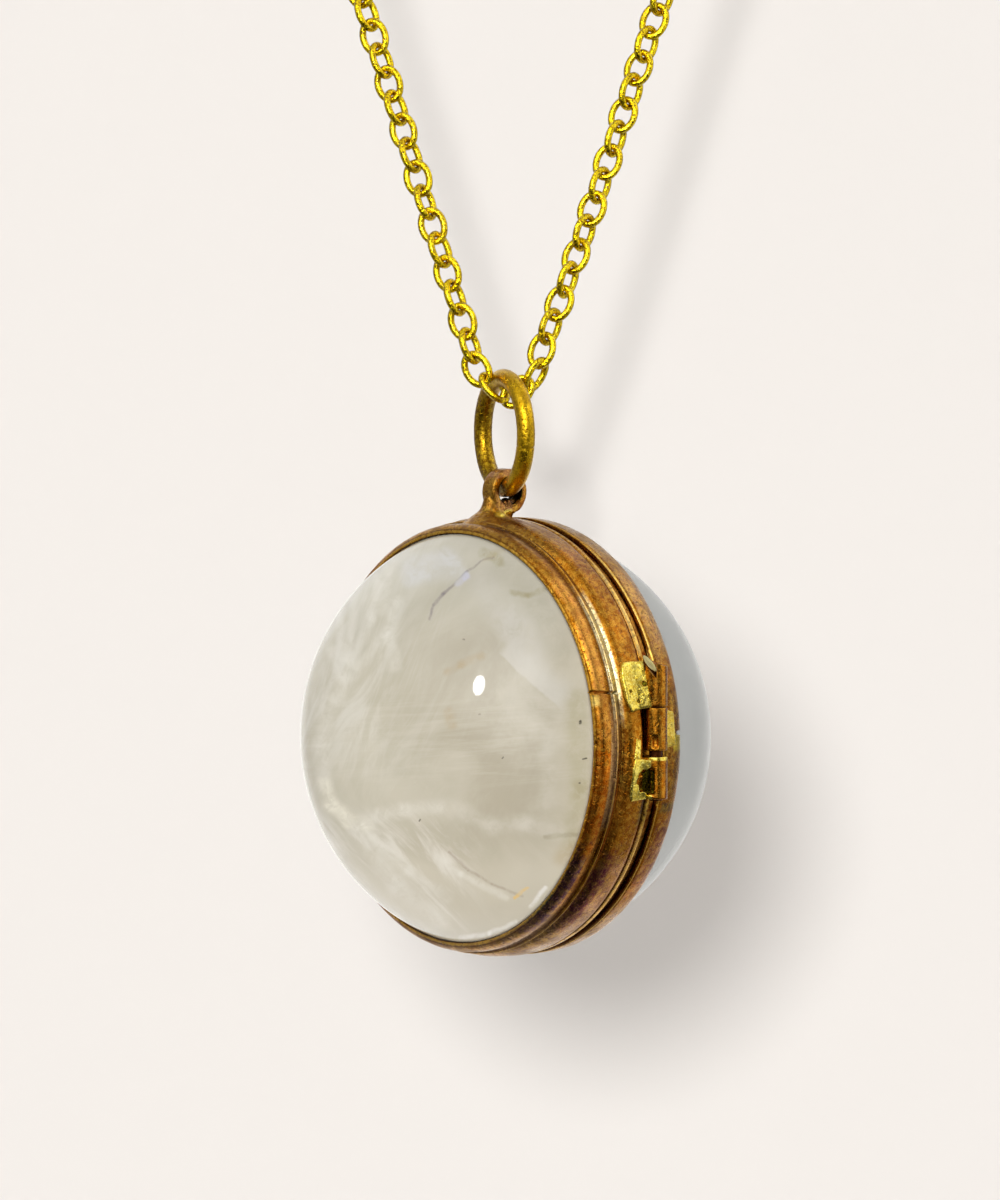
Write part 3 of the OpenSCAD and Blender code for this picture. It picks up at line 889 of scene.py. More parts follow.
def patina_group():
    """Mottled, handled old metal: a colour, a roughness and a height that vary over the surface."""
    tree, f, given, result = group_tree(
        "Patina",
        [("Vector", ARROW, None), ("Metal", COLOUR, None), ("Bright", COLOUR, None), ("Dark", COLOUR, None),
         ("Wear", NUMBER, 0.0), ("Cloud Scale", NUMBER, 0.6), ("Grain Scale", NUMBER, 13.0),
         ("Shine", NUMBER, 0.25), ("Dullness", NUMBER, 0.25)],
        [("Color", COLOUR), ("Roughness", NUMBER), ("Height", NUMBER)])
    wear, bright, dark = given["Wear"], given["Bright"], given["Dark"]

    def cloud(scale, finer, detail):
        return f.noise(given["Vector"], f.times(given[scale], finer), detail, 0.5)

    broad = f.ramp(cloud("Cloud Scale", 1.0, 4.0), 0.35, 0.68)
    mottle = f.ramp(cloud("Cloud Scale", 5.3, 5.0), 0.38, 0.66)
    grain = cloud("Grain Scale", 1.0, 3.0)
    pits = f.ramp(cloud("Grain Scale", 0.42, 2.0), 0.3, 0.42)
    proud = f.plus(wear, f.times(f.minus(mottle, 0.5), 0.5))
    sunk = f.times(wear, -1.0)
    colour = f.mix(f.times(broad, 0.55), given["Metal"], dark)
    colour = f.mix(f.times(mottle, 0.4), colour, bright)
    colour = f.mix(f.ramp(proud, 0.3, 0.9), colour, bright)
    colour = f.mix(f.times(f.ramp(sunk, 0.1, 0.7), 0.85), colour, dark)
    colour = f.mix(f.times(f.minus(1.0, pits), 0.6), colour, dark)
    colour = f.mix(f.times(f.ramp(grain, 0.52, 0.68), 0.4), colour, bright)
    colour = f.mix(f.times(f.ramp(grain, 0.48, 0.34), 0.5), colour, dark)
    rough = f.plus(given["Shine"], f.times(given["Dullness"], broad))
    rough = f.plus(rough, f.times(f.minus(grain, 0.5), 0.2), clamp=True)
    height = f.plus(f.times(grain, 0.3), f.times(pits, 0.7))
    f.fill(result, Color=colour, Roughness=rough, Height=height)
    return tree


def new_material(name):
    material = bpy.data.materials.new(name)
    material.use_nodes = True
    tree = material.node_tree
    tree.nodes.clear()
    f = Wiring(tree)
    surface = f.node("ShaderNodeBsdfPrincipled")
    f.node("ShaderNodeOutputMaterial", Surface=surface)
    return material, f, surface


def bare_metal(f, surface, colour, roughness, height, depth, strength):
    """Metal with a bump of the given height, depth millimetres deep."""
    bump = f.node("ShaderNodeBump", Height=height, Distance=depth * MM, Strength=strength)
    f.fill(surface, Base_Color=colour, Roughness=roughness, Metallic=1.0, Normal=bump)


def locket_coordinates(f):
    """Object coordinates in millimetres in the locket's own frame: side, minus forward, up."""
    turn = Matrix.Rotation(LOCKET_TURN, 4, "Z")
    return f.mapping(tuple(turn @ LOCKET_CENTRE / -MM), (0, 0, LOCKET_TURN))


def front_coordinates(f):
    """Object coordinates in millimetres from the locket's middle, square to the photograph's view."""
    tilt = Matrix.Rotation(CAMERA_ELEVATION, 4, "X")
    return f.mapping(tuple(tilt @ LOCKET_CENTRE / -MM), (CAMERA_ELEVATION, 0, 0))


# Stains, rubbed places and painted highlights, shadows and sheen on the locket's brass: colour, strength,
# the angles round the ring in degrees from the hinge up, and the places from the parting plane
# forward, where each one fades in and out.
BRASS_MARKS_AND_PAINTED_LIGHT = [
    ((158, 116, 48), 0.75, (48, 72, 110, 130), (-3, -2.5, 4.4, 4.6)),
    # Paler tan over the bottom: oxide, with painted sheen.
    ((172, 142, 112), 0.7, (-120, -105, -62, -42), (-3, -2.5, 4.4, 4.6)),
    ((180, 112, 18), 0.8, (2, 16, 44, 58), (1.3, 2.0, 4.3, 4.5)),
    # Painted highlight: paler gold on the lip's face above the hinge.
    ((236, 164, 84), 0.6, (0, 12, 46, 58), (3.3, 3.5, 3.95, 4.1)),
    ((164, 98, 26), 0.75, (16, 26, 44, 56), (0.75, 0.95, 2.1, 2.3)),
    # Greyish mauve over the top of the band: oxide, with painted sheen.
    ((152, 104, 88), 0.55, (42, 54, 84, 100), (0.6, 0.8, 1.7, 2.0)),
    # Darker brown on the lip before the ridge: partly grime, partly painted shade.
    ((140, 88, 38), 0.4, (24, 40, 78, 88), (3.0, 3.04, 3.3, 3.7)),
    # Painted highlight: a pale streak over the ridge, above the hinge here and below it in the next row.
    ((255, 246, 196), 0.97, (4, 12, 34, 50), (2.36, 2.48, 3.05, 3.16)),
    ((226, 184, 134), 0.85, (-26, -18, 4, 12), (2.72, 2.82, 3.25, 3.4)),
    ((212, 124, 30), 0.7, (-44, -32, -10, 2), (2.0, 2.3, 2.7, 2.85)),
    ((212, 106, 12), 0.85, (-34, -26, -6, 4), (3.3, 3.42, 4.15, 4.3)),
    ((104, 64, 20), 0.95, (-17, -9, 9, 18), (-2.3, -2.0, -0.42, -0.34)),
    ((246, 216, 120), 0.9, (10, 11.5, 13.6, 14.2), (3.85, 4.0, 4.3, 4.5)),
    # Painted shadow: a dark strip in the groove between the band and the ridge, beside the hinge.
    ((70, 34, 10), 0.8, (-14, -8, 6, 14), (2.3, 2.42, 2.58, 2.7)),
    # Painted highlights: pale strips on the front rim's crest, above the hinge here and below it in the next
    # row.
    ((252, 226, 150), 0.7, (20, 28, 46, 60), (0.3, 0.38, 0.62, 0.72)),
    ((244, 192, 122), 0.8, (-72, -60, -24, -18), (0.34, 0.42, 0.62, 0.72)),
    ((122, 56, 20), 0.85, (-220, -200, 200, 220), (-0.17, -0.12, 0.3, 0.34)),
    # Painted reflection: golden glints on the tongue in the parting gap.
    ((255, 206, 110), 0.5, (24, 32, 44, 58), (-0.1, 0.0, 0.06, 0.16)),
    # Painted shadow: a near-black patch under the hinge's lowest knuckle.
    ((34, 30, 24), 0.9, (-23, -20, -16, -14), (0.3, 0.5, 0.95, 1.3)),
    ((98, 62, 94), 0.9, (-66, -56, -38, -28), (3.5, 3.65, 4.15, 4.25)),
    ((30, 112, 86), 0.5, (-62, -56, -50, -44), (4.12, 4.16, 4.3, 4.4)),
    ((124, 56, 78), 0.95, (-64, -54, -36, -26), (1.7, 1.9, 2.45, 2.6)),
    # Pale mauve low on the band: oxide, with painted sheen.
    ((205, 164, 140), 0.4, (-80, -60, -40, -28), (0.7, 0.9, 1.6, 1.95)),
    # Greyish tan over the top of the rear band: oxide, with painted sheen.
    ((160, 124, 86), 0.8, (14, 28, 110, 130), (-2.3, -2.0, -0.46, -0.36)),
    # Painted highlight: a bright line on the rear rim's crest above the hinge.
    ((250, 220, 130), 0.8, (16, 25, 52, 62), (-0.34, -0.3, -0.19, -0.16)),
    ((124, 62, 66), 0.6, (-46, -38, -28, -20), (-2.2, -1.8, -0.6, -0.4)),
    # Painted shadow: a dark strip on the rear ring under the hinge's lowest knuckle.
    ((54, 66, 52), 0.8, (-19.5, -18, -16.5, -15), (-1.9, -1.5, -0.6, -0.4)),
    ((206, 188, 60), 0.8, (-2.5, -1, 2, 3), (-2.5, -2, -1.1, -0.9)),
]
# Marks that begin within fewer degrees or fewer millimetres than these have crisp edges there
CRISP_TURN = 4
CRISP_STEP = 0.15


def aged_brass(patina):
    """Brown brass with its stains and painted highlights and shade, pale or pitted where the solder
    attribute says so.
    """
    material, f, surface = new_material("aged_brass")
    place = locket_coordinates(f)
    side, rearward, up = f.node("ShaderNodeSeparateXYZ", Vector=place).outputs
    turn = f.times(f.math("ARCTAN2", up, side), math.degrees(1))
    forward = f.times(rearward, -1.0)
    blur = f.minus(f.noise(place, 0.8, 5.0, 0.65), 0.5)
    wide_turn = f.plus(turn, f.times(blur, 26.0))
    fine_turn = f.plus(turn, f.times(blur, 4.0))
    wide_forward = f.plus(forward, f.times(f.minus(f.noise(place, 1.7, 5.0), 0.5), 0.5))
    brown = f.mix(f.ramp(f.noise(place, 0.55, 3.0), 0.35, 0.65), srgb(150, 84, 8), srgb(184, 110, 14))
    patchy = f.plus(0.5, f.times(f.ramp(f.noise(place, 4.5, 5.0, 0.7), 0.25, 0.6), 0.5))
    for colour, strength, round_ring, across in BRASS_MARKS_AND_PAINTED_LIGHT:
        near_turn = fine_turn if round_ring[1] - round_ring[0] < CRISP_TURN else wide_turn
        near_forward = forward if across[1] - across[0] < CRISP_STEP else wide_forward
        mask = f.times(f.zone(near_turn, *round_ring), f.zone(near_forward, *across))
        brown = f.mix(f.times(f.times(mask, patchy), strength), brown, srgb(*colour))
    old = f.group(patina, Vector=place, Metal=brown, Bright=f.mix(0.55, brown, srgb(255, 206, 84)),
                  Dark=f.mix(0.72, brown, srgb(56, 18, 4)), Wear=f.attribute("wear"), Cloud_Scale=0.6,
                  Grain_Scale=13.0, Shine=0.22, Dullness=0.22)
    fresh = f.group(patina, Vector=place, Metal=srgb(255, 226, 84), Bright=srgb(255, 248, 150),
                    Dark=srgb(170, 132, 20), Wear=0.15, Cloud_Scale=1.4, Grain_Scale=11.0, Shine=0.2,
                    Dullness=0.25)
    pitted = f.group(patina, Vector=place, Metal=srgb(64, 58, 12), Bright=srgb(190, 168, 40),
                     Dark=srgb(24, 18, 4), Wear=-0.2, Cloud_Scale=2.0, Grain_Scale=9.0, Shine=0.35,
                     Dullness=0.25)
    solder = f.attribute("solder")
    colour = f.mix(f.ramp(solder, 0.25, 0.75), old.outputs["Color"], fresh.outputs["Color"])
    colour = f.mix(f.ramp(solder, -0.1, -0.4), colour, pitted.outputs["Color"])
    # Painted shade: solder values below -1.2, given only inside the eye's hole, turn the brass near black.
    colour = f.mix(f.ramp(solder, -1.2, -1.6), colour, srgb(20, 11, 4))
    # Turned lines run round the ring, over soft dents and fine grain
    lines = f.node("ShaderNodeCombineXYZ", X=f.times(turn, 0.012), Y=f.times(forward, 9.0))
    height = f.plus(f.times(f.noise(lines, 1.0, 3.0), 0.25), old.outputs["Height"])
    height = f.plus(height, f.times(f.noise(place, 1.1, 2.0), 2.2))
    bare_metal(f, surface, colour, old.outputs["Roughness"], height, 0.045, 0.6)
    return material


def olive_brass(patina):
    """The jump ring's greenish brass, darker on the inside of its left limb."""
    material, f, surface = new_material("olive_brass")
    place = f.mapping(tuple(RING_CENTRE / -MM))
    across, _, up = f.node("ShaderNodeSeparateXYZ", Vector=place).outputs
    shaded = f.times(f.ramp(across, 0.2, -0.4), f.ramp(up, 2.6, 1.6))
    metal = f.mix(shaded, srgb(216, 170, 22), srgb(122, 86, 10))
    old = f.group(patina, Vector=place, Metal=metal, Bright=srgb(234, 196, 48), Dark=srgb(106, 72, 8),
                  Wear=f.attribute("wear"), Cloud_Scale=0.9, Grain_Scale=15.0, Shine=0.24, Dullness=0.2)
    height = f.plus(old.outputs["Height"], f.noise(place, 2.0, 2.0))
    bare_metal(f, surface, old.outputs["Color"], old.outputs["Roughness"], height, 0.04, 0.8)
    return material


def gold_plate():
    """Bright yellow plate with brown specks, and painted shade that browns it where the wire turns away from
    the viewer.
    """
    material, f, surface = new_material("gold_plate")
    place = f.mapping()
    tone = f.ramp(f.noise(place, 3.0, 4.0), 0.35, 0.65)
    grain = f.noise(place, 11.0, 3.0)
    # Painted shade: the colour browns where the wire's surface turns away from the viewer.
    edge_shade = f.ramp(f.node("ShaderNodeLayerWeight", Blend=0.5).outputs["Facing"], 0.5, 0.85)
    colour = f.mix(tone, srgb(212, 180, 6), srgb(242, 214, 22))
    colour = f.mix(f.times(f.ramp(grain, 0.48, 0.37), 0.9), colour, srgb(100, 56, 2))
    colour = f.mix(f.times(edge_shade, 0.9), colour, srgb(90, 50, 1))
    f.fill(surface, Coat_Weight=0.25, Coat_Roughness=0.06)
    height = f.plus(f.noise(place, 2.8, 3.0), f.times(grain, 0.3))
    bare_metal(f, surface, colour, f.plus(0.06, f.times(tone, 0.08)), height, 0.13, 0.8)
    return material


def pin_metal():
    """Dark brown round the pin's side and pale, filed grey-yellow on its end."""
    material, f, surface = new_material("pin_metal")
    place = locket_coordinates(f)
    tone = f.noise(place, 5.0, 4.0)
    filed = f.mix(tone, srgb(150, 142, 92), srgb(208, 196, 138))
    shaft = f.mix(tone, srgb(40, 18, 8), srgb(92, 50, 20))
    colour = f.mix(f.ramp(f.attribute("solder"), 0.3, 0.7), shaft, filed)
    roughness = f.plus(0.35, f.times(tone, 0.25))
    bare_metal(f, surface, colour, roughness, f.noise(place, 10.0, 3.0), 0.02, 0.6)
    return material


def stroke_group():
    """How near a point is to a line from Start to End: 1 within Width, fading to 0 over Soft."""
    tree, f, given, result = group_tree(
        "Stroke", [("Vector", ARROW, None), ("Start", ARROW, None), ("End", ARROW, None),
                   ("Width", NUMBER, 0.1), ("Soft", NUMBER, 0.1)], [("Mask", NUMBER)])
    reach = f.vector("SUBTRACT", given["Vector"], given["Start"])
    line = f.vector("SUBTRACT", given["End"], given["Start"])
    along = f.math("DIVIDE", f.dot(reach, line), f.dot(line, line))
    along = f.math("MAXIMUM", f.math("MINIMUM", along, 1.0), 0.0)
    off = f.vector("SUBTRACT", reach, f.vector("SCALE", line, along))
    distance = f.vector("LENGTH", off, output="Value")
    gone = f.plus(given["Width"], given["Soft"])
    f.fill(result, Mask=f.ramp(distance, given["Width"], gone, 1.0, 0.0))
    return tree


WHITE_VEIL = (242, 239, 228)
BLUE_VEIL = (226, 227, 228)
WARM_VEIL = (254, 250, 232)
GREY_VEIL = (188, 182, 162)
VIOLET = (128, 118, 128)
OLIVE = (168, 158, 112)
TAN = (186, 160, 112)
SPECK = (60, 54, 44)

# Veils, cracks and specks in the front crystal: colour, strength, half width and softness, and the
# points that the stroke runs through. All are in the photograph's pixels.
VEILS = [
    (BLUE_VEIL, 0.5, 7, 15, [(415, 570), (448, 566)]),
    (BLUE_VEIL, 0.4, 3, 9, [(410, 582), (424, 574)]),
    (BLUE_VEIL, 0.4, 3, 9, [(448, 556), (460, 574)]),
    ((214, 210, 200), 0.4, 7, 20, [(488, 586), (515, 625), (530, 650)]),
    (GREY_VEIL, 0.4, 5, 18, [(505, 570), (540, 610), (560, 650)]),
    (OLIVE, 0.5, 1.5, 6, [(484, 554), (500, 562)]),
    (OLIVE, 0.45, 0.8, 4, [(513, 594), (528, 597), (546, 590)]),
    (GREY_VEIL, 0.3, 3, 12, [(352, 600), (362, 650)]),
    (WHITE_VEIL, 0.35, 0.8, 6, [(346, 668), (338, 604)]),
    (WHITE_VEIL, 0.35, 0.8, 6, [(348, 666), (358, 588)]),
    (WHITE_VEIL, 0.4, 0.8, 6, [(352, 664), (372, 618), (380, 578)]),
    (WHITE_VEIL, 0.35, 0.8, 6, [(358, 668), (386, 634), (398, 600)]),
    (WHITE_VEIL, 0.35, 1.5, 9, [(390, 562), (384, 610)]),
    (WHITE_VEIL, 0.3, 1, 9, [(399, 603), (391, 640), (396, 668)]),
    (WHITE_VEIL, 0.4, 1.5, 9, [(333, 652), (345, 678), (338, 702)]),
    (WHITE_VEIL, 0.35, 2, 11, [(330, 702), (321, 745), (325, 785)]),
    (WARM_VEIL, 0.6, 1.5, 10, [(325, 785), (332, 805), (348, 820), (366, 825)]),
    (WHITE_VEIL, 0.32, 1, 10, [(362, 822), (382, 815), (405, 810), (440, 806)]),
    (WHITE_VEIL, 0.2, 1, 13, [(440, 806), (470, 815), (492, 826), (525, 824), (560, 832)]),
    (GREY_VEIL, 0.35, 5, 20, [(455, 832), (490, 848)]),
    (GREY_VEIL, 0.3, 7, 22, [(400, 760), (440, 785)]),
    (WHITE_VEIL, 0.15, 1.5, 14, [(552, 740), (548, 800)]),
    (WHITE_VEIL, 0.45, 0.6, 5, [(438, 858), (462, 874), (506, 897)]),
    (WHITE_VEIL, 0.4, 2, 14, [(360, 830), (398, 885), (440, 920)]),
    (WHITE_VEIL, 0.35, 1, 8, [(375, 838), (410, 872), (448, 898)]),
    (OLIVE, 0.35, 3, 15, [(577, 700), (581, 790), (574, 850)]),
    (TAN, 0.35, 2, 12, [(562, 858), (574, 850)]),
    ((150, 142, 112), 0.4, 0.6, 3, [(546, 838), (578, 834)]),
    (VIOLET, 0.55, 0.3, 1.7, [(430, 621), (435, 607)]),
    (VIOLET, 0.6, 0.4, 1.9, [(435, 607), (443, 595)]),
    (VIOLET, 0.6, 0.4, 1.9, [(444, 594), (455, 584)]),
    (VIOLET, 0.5, 0.3, 1.8, [(457, 582), (469, 572)]),
    (VIOLET, 0.45, 0.3, 1.7, [(471, 570), (482, 562)]),
    (VIOLET, 0.35, 0.3, 1.6, [(484, 561), (493, 559)]),
    ((214, 214, 232), 0.8, 1.4, 4, [(458, 585), (468, 577)]),
    ((156, 134, 120), 0.4, 0.3, 2, [(448, 853), (470, 870), (492, 883), (522, 897)]),
    (TAN, 0.3, 0.8, 6, [(448, 672), (462, 664), (482, 656)]),
    (TAN, 0.3, 1, 7, [(450, 712), (453, 726)]),
    ((246, 206, 120), 0.8, 0.5, 2.2, [(515, 898), (528, 889)]),
    ((255, 254, 250), 0.7, 0.5, 3, [(531, 906), (546, 888)]),
    ((255, 254, 250), 0.5, 0.5, 3.5, [(462, 938), (490, 934), (516, 923)]),
    (SPECK, 0.9, 0.7, 1.0, [(581, 721), (581, 723)]),
    (SPECK, 0.8, 0.5, 0.8, [(583, 760), (586, 759)]),
    (SPECK, 0.7, 0.4, 0.9, [(420, 820), (421, 819)]),
    (SPECK, 0.6, 0.4, 0.9, [(464, 639), (465, 639)]),
    (SPECK, 0.6, 0.4, 0.9, [(479, 715), (480, 715)]),
    (SPECK, 0.7, 0.4, 0.8, [(504, 757), (505, 756)]),
    (SPECK, 0.7, 0.4, 0.8, [(579, 782), (580, 782)]),
]
# A thin film in the crystal: directions across and along its crisp edge, and where it fades in and out
FILM_RISE = (0.679, 0, 0.734)
FILM_RUN = (0.734, 0, -0.679)
FILM_RISE_ZONE = (2.62, 2.78, 3.3, 4.6)
FILM_RUN_ZONE = (-3.9, -3.4, 0.2, 1.2)
CRYSTAL_IOR = 1.54


def seen(x, y):
    """A point of the photograph in millimetres from the locket's middle, across and up."""
    return Vector(((x - LOCKET_PIXEL[0]) / PHOTO_SCALE, 0, (LOCKET_PIXEL[1] - y) / PHOTO_SCALE))


def front_crystal_finish():
    """Clouds, fibres, a film and the drawn veils, all flat to the photograph's view."""
    material, f, surface = new_material("cloudy_crystal")
    place = front_coordinates(f)
    flat = f.vector("MULTIPLY", place, (1, 0, 1))
    across, _, up = f.node("ShaderNodeSeparateXYZ", Vector=flat).outputs
    # What is drawn sways a quarter of a millimetre either way
    sway = f.noise(flat, 0.7, 4.0, 0.5, output="Color")
    drawn = f.vector("MULTIPLY_ADD", sway, (0.5, 0, 0.5), f.vector("SUBTRACT", flat, (0.25, 0, 0.25)))

    def streaks(lean, stretch, scale, detail, roughness, distortion, thin, full):
        """Streaks whose long way is turned by lean degrees from the upright."""
        turned = f.node("ShaderNodeMapping", Vector=flat, Rotation=(0, math.radians(lean), 0), Scale=stretch)
        turned.vector_type = "TEXTURE"
        return f.ramp(f.noise(turned, scale, detail, roughness, distortion), thin, full)

    fibres = f.times(streaks(24, (1.0, 1.0, 4.5), 0.9, 6.0, 0.65, 0.8, 0.42, 0.72), f.ramp(up, -5.0, 0.5))
    lines = f.times(streaks(-4, (5.0, 1.0, 0.42), 0.9, 5.0, 0.7, 0.4, 0.42, 0.7),
                    f.zone(up, -3.5, -1.5, 1.2, 3.0))
    low_left = f.times(f.ramp(up, -3.0, -6.0), f.ramp(across, -1.0, -4.0))
    wisps = f.times(streaks(-42, (0.77, 1.0, 4.0), 0.8, 5.0, 0.65, 0.6, 0.45, 0.72), low_left)
    film = f.times(f.zone(f.dot(drawn, FILM_RISE), *FILM_RISE_ZONE),
                   f.zone(f.dot(drawn, FILM_RUN), *FILM_RUN_ZONE))
    left = f.ramp(across, -2.0, -10.0)
    broad = f.ramp(f.noise(place, 0.16, 5.0, 0.6, 1.0), 0.35, 0.65)
    colour = f.mix(broad, srgb(187, 179, 159), srgb(203, 196, 178))
    # The first four lighten the base toward the left, bottom, top and right edges: partly paler crystal,
    # partly painted light where the dome would shade off. The rest are veils in the crystal.
    for mask, strength, tint in [
            (left, 0.6, (212, 207, 188)),
            (f.ramp(up, -4.5, -8.0), 0.7, (218, 211, 192)),
            (f.ramp(up, 4.5, 8.5), 0.5, (216, 213, 196)),
            (f.ramp(across, 1.0, 4.0), 0.65, (220, 212, 190)),
            (fibres, f.plus(0.06, f.times(left, 0.44)), (240, 238, 230)),
            (lines, 0.25, (226, 221, 206)),
            (wisps, 0.6, (244, 240, 230)),
            (film, 0.45, (222, 219, 211))]:
        colour = f.mix(f.times(mask, strength), colour, srgb(*tint))
    clouded = colour
    stroke = stroke_group()
    for tint, strength, width, soft, points in VEILS:
        for start, end in zip(points, points[1:]):
            mask = f.group(stroke, Vector=drawn, Start=seen(*start), End=seen(*end),
                           Width=width / PHOTO_SCALE, Soft=soft / PHOTO_SCALE)
            colour = f.mix(f.times(mask, strength), colour, srgb(*tint))
    broken = f.ramp(f.noise(flat, 1.1, 6.0, 0.7, 0.6), 0.35, 0.6)
    colour = f.mix(f.plus(0.4, f.times(broken, 0.6)), clouded, colour)
    f.fill(surface, Base_Color=colour, Roughness=0.04, IOR=CRYSTAL_IOR, Transmission_Weight=0.2)
    return material


def rear_crystal_finish():
    """Plainer grey crystal, which shows only past the rings."""
    material, f, surface = new_material("grey_crystal")
    broad = f.noise(locket_coordinates(f), 0.15, 4.0)
    f.fill(surface, Base_Color=f.mix(broad, srgb(182, 185, 184), srgb(192, 194, 192)), Roughness=0.25,
           IOR=CRYSTAL_IOR, Specular_IOR_Level=0.1, Transmission_Weight=0.1)
    return material


def add_camera():
    data = bpy.data.cameras.new("camera")
    data.sensor_width = SENSOR
    data.lens = SENSOR * CAMERA_DISTANCE / (PHOTO_HEIGHT / PHOTO_SCALE)
    data.clip_start = 0.01
    data.clip_end = 50
    camera = bpy.data.objects.new("camera", data)
    back = Vector((0, -math.cos(CAMERA_ELEVATION), math.sin(CAMERA_ELEVATION)))
    camera.location = (CAMERA_AIM + back * CAMERA_DISTANCE) * MM
    camera.rotation_mode = "QUATERNION"
    camera.rotation_quaternion = (-back).to_track_quat("-Z", "Y")
    collection.objects.link(camera)
    bpy.context.scene.camera = camera


def aimed(name, data, direction, place=(0, 0, 0)):
    """A light whose rays go along direction."""
    light = bpy.data.objects.new(name, data)
    light.location = place
    light.rotation_mode = "QUATERNION"
    light.rotation_quaternion = Vector(direction).to_track_quat("-Z", "Y")
    light.visible_camera = False
    collection.objects.link(light)
    return light


def gathered(name, pieces):
    made = bpy.data.collections.new(name)
    for piece in pieces:
        made.objects.link(piece)
    return made


def soft_sun(name, direction, strength, spread, lit, blockers):
    """A soft far light on the lit pieces only, with shadows of the blockers only, not seen in metals."""
    sun = bpy.data.lights.new(name, "SUN")
    sun.energy = strength
    sun.angle = math.radians(spread)
    light = aimed(name, sun, direction)
    light.visible_glossy = False
    light.visible_transmission = False
    light.light_linking.receiver_collection = gathered(name + "_receivers", lit)
    light.light_linking.blocker_collection = gathered(name + "_blockers", blockers)
    return light


# The window lamp, in metres: its width and height, and its direction and distance from the locket
WINDOW_SIZE = (0.1, 0.175)
WINDOW_TOWARD = Vector((-0.350, -0.809, 0.472))
WINDOW_AWAY = 0.95
WINDOW_STRENGTH = 14.0


def add_lights(stage, locket, hangers):
    """Two soft suns for the shadows on the wall, a broad one and a glint on the piece, and a window."""
    soft_sun("locket_sun", (0.0452, 1.0, -0.093), 2.05, 4.0, stage, locket)
    soft_sun("chain_sun", (0.0235, 1.0, -0.0745), 1.5, 1.2, stage, hangers)
    soft_sun("broad_sun", (0.2, 1.0, 0.0), 2.95, 160.0, locket + hangers, locket + hangers)
    soft_sun("glint_sun", (0.12, 0.92, -0.4), 1.5, 20.0, hangers, locket + hangers).visible_glossy = True
    window = bpy.data.lights.new("window", "AREA")
    window.shape = "ELLIPSE"
    window.size, window.size_y = WINDOW_SIZE
    window.energy = WINDOW_STRENGTH * math.pi * window.size * window.size_y
    lamp = aimed("window", window, -WINDOW_TOWARD, LOCKET_CENTRE + WINDOW_TOWARD * WINDOW_AWAY)
    lamp.visible_transmission = False


def pale_stage(name, corners, colour, seen_as=None):
    """A pale sheet, seen from its front side only, so a view from behind it isn't blocked.

    seen_as is its flat colour to the camera, where the low suns leave it grey.
    """
    mesh = bpy.data.meshes.new(name)
    mesh.from_pydata(corners, [], [(0, 1, 2, 3)])
    piece = bpy.data.objects.new(name, mesh)
    collection.objects.link(piece)
    material, f, surface = new_material(name)
    shown = f.fill(surface, Base_Color=colour, Roughness=1.0, Specular_IOR_Level=0.0)
    if seen_as:
        camera_ray = f.node("ShaderNodeLightPath").outputs["Is Camera Ray"]
        shown = f.either(camera_ray, shown, f.node("ShaderNodeEmission", Color=seen_as))
    behind = f.node("ShaderNodeNewGeometry").outputs["Backfacing"]
    one_sided = f.either(behind, shown, f.node("ShaderNodeBsdfTransparent"))
    f.fill(f.nodes["Material Output"], Surface=one_sided)
    paint(piece, material)
    piece.visible_glossy = False
    return piece


CREAM = srgb(244, 239, 233)
PALE = srgb(208, 204, 200)
FLOOR_SEEN = srgb(232, 227, 221)
# Even fill for dull surfaces, stronger from the sides, and soft boxes and dark gaps in reflections:
# (direction, cosines where it starts and where it is full, strength)
SOFT_LIGHT = 0.057
FILL_BOXES = [((-1, 0, 0), 0.3, 0.95, 0.26), ((1, 0, 0), 0.3, 0.95, 0.16), ((0, 0, -1), 0.3, 0.95, 0.2),
              ((0, 0, 1), 0.3, 0.95, 0.12)]
DARK_GAP = 0.05
SOFT_BOXES = [((-0.35, -0.6, 0.72), 0.7, 0.9, 1.3), ((-0.1, -0.92, 0.38), 0.86, 0.96, 1.2),
              ((0.91, -0.1, 0.39), 0.62, 0.93, 0.95), ((0.55, 0.15, 0.8), 0.75, 0.95, 0.5),
              ((0.8, 0.0, -0.5), 0.6, 0.9, 0.35), ((0.1, 0.8, 0.6), 0.5, 0.9, 0.75),
              ((0.1, 0.8, -0.6), 0.62, 0.97, 0.9), ((-0.9, 0.4, 0.0), 0.3, 0.9, 0.36),
              ((0.03, -1.0, 0.0), 0.95, 0.985, 0.9)]
# The stage, in metres: the floor's height, the wall's place behind the piece, and how far both reach
FLOOR_UP = -0.27
WALL_BACK = 0.016
STAGE_REACH = 6.0


def add_stage():
    """A floor below the locket, and a wall close behind it for its shadows."""
    reach = STAGE_REACH

    def sheet(near, far):
        return [(-reach, *near), (reach, *near), (reach, *far), (-reach, *far)]

    corner = (WALL_BACK, FLOOR_UP)
    floor = pale_stage("floor", sheet((-reach, FLOOR_UP), corner), PALE, FLOOR_SEEN)
    backdrop = pale_stage("backdrop", sheet(corner, (WALL_BACK, reach)), PALE)
    return [floor, backdrop]


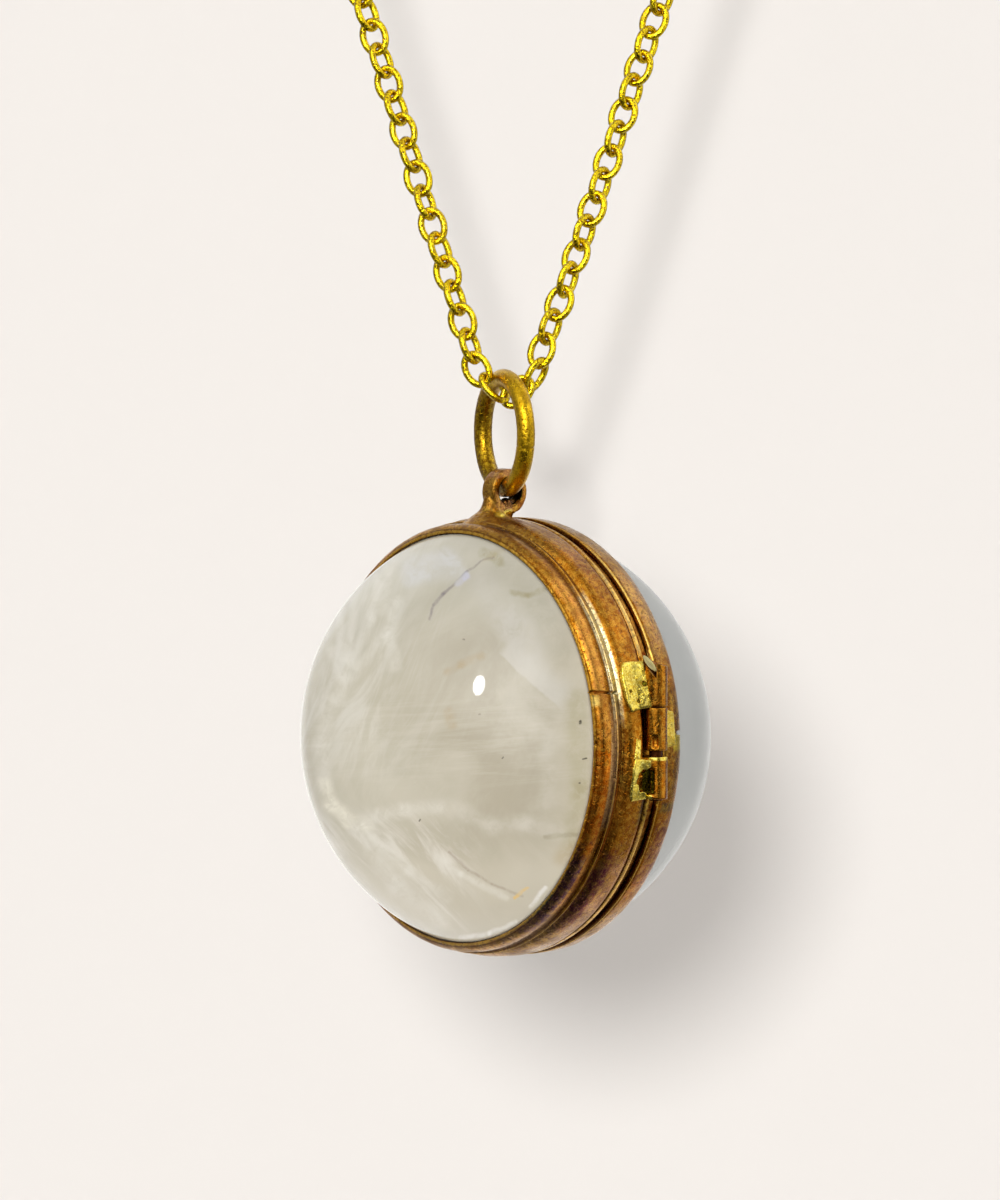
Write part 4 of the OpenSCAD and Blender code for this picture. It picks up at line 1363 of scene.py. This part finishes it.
def add_world():
    """A pale studio: cream to the camera, even on dull surfaces, and boxes and gaps in reflections."""
    world = bpy.data.worlds.new("studio")
    bpy.context.scene.world = world
    world.use_nodes = True
    world.node_tree.nodes.clear()
    f = Wiring(world.node_tree)
    around = f.node("ShaderNodeTexCoord").outputs["Generated"]
    path = f.node("ShaderNodeLightPath")

    def boxes(level, lights):
        for direction, near, full, strength in lights:
            facing = f.ramp(f.dot(around, Vector(direction).normalized()), near, full)
            level = f.plus(level, f.times(facing, strength))
        return level

    def background(colour, strength):
        return f.node("ShaderNodeBackground", Color=colour, Strength=strength)

    even = background(srgb(252, 251, 249), boxes(SOFT_LIGHT, FILL_BOXES))
    mirrored = background(srgb(252, 250, 246), boxes(DARK_GAP, SOFT_BOXES))
    studio = f.either(path.outputs["Is Glossy Ray"], even, mirrored)
    seen_first = f.either(path.outputs["Is Camera Ray"], studio, background(CREAM, 1.0))
    f.node("ShaderNodeOutputWorld", Surface=seen_first)


def finish_piece(piece, body, slot, material, *nodes):
    paint(piece, material)
    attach(piece, body)
    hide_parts(*nodes)


add_camera()
add_world()
stage = add_stage()

patina = patina_group()
brass = aged_brass(patina)
gold = gold_plate()
front_ring = build_front_bezel()
rear_ring = build_rear_bezel()
pin = build_pin()
front_dome = build_crystal("front_crystal_dome", FRONT_DOME, 1)
rear_dome = build_crystal("rear_crystal_dome", REAR_DOME, -1)
jump_ring = build_jump_ring()
finish_piece(front_ring, "front_half", "aged_brass", brass, "front_bezel")
finish_piece(rear_ring, "rear_half", "aged_brass", brass, "rear_bezel")
finish_piece(pin, "front_half", "pin_metal", pin_metal(), "hinge_pin")
finish_piece(front_dome, "front_half", "rock_crystal", front_crystal_finish(), "front_crystal")
finish_piece(rear_dome, "rear_half", "rock_crystal", rear_crystal_finish(), "rear_crystal")
finish_piece(jump_ring, "jump_ring", "olive_brass", olive_brass(patina), "jump_ring")
finish_piece(build_clasp(), "chain", "gold_plate", gold, "clasp")
links, inputs = link_tree(gold)
line = chain_line()
pitch = even_pitch(line)
near = build_links("chain_links_near", line, links, inputs,
                   {"Pitch": pitch, "Highest": NEAR_LINKS_TOP, "Link Steps": 36, "Wire Sides": 12}, gold)
far = build_links("chain_links_far", line, links, inputs,
                  {"Pitch": pitch, "Lowest": NEAR_LINKS_TOP, "Link Steps": 12, "Wire Sides": 6}, gold)
finish_piece(near, "chain", "gold_plate", gold, "chain")
finish_piece(far, "chain", "gold_plate", gold, "chain")
add_lights(stage, [front_ring, rear_ring, pin, front_dome, rear_dome], [jump_ring, near, far])

scene = bpy.context.scene
scene.view_settings.view_transform = "Standard"
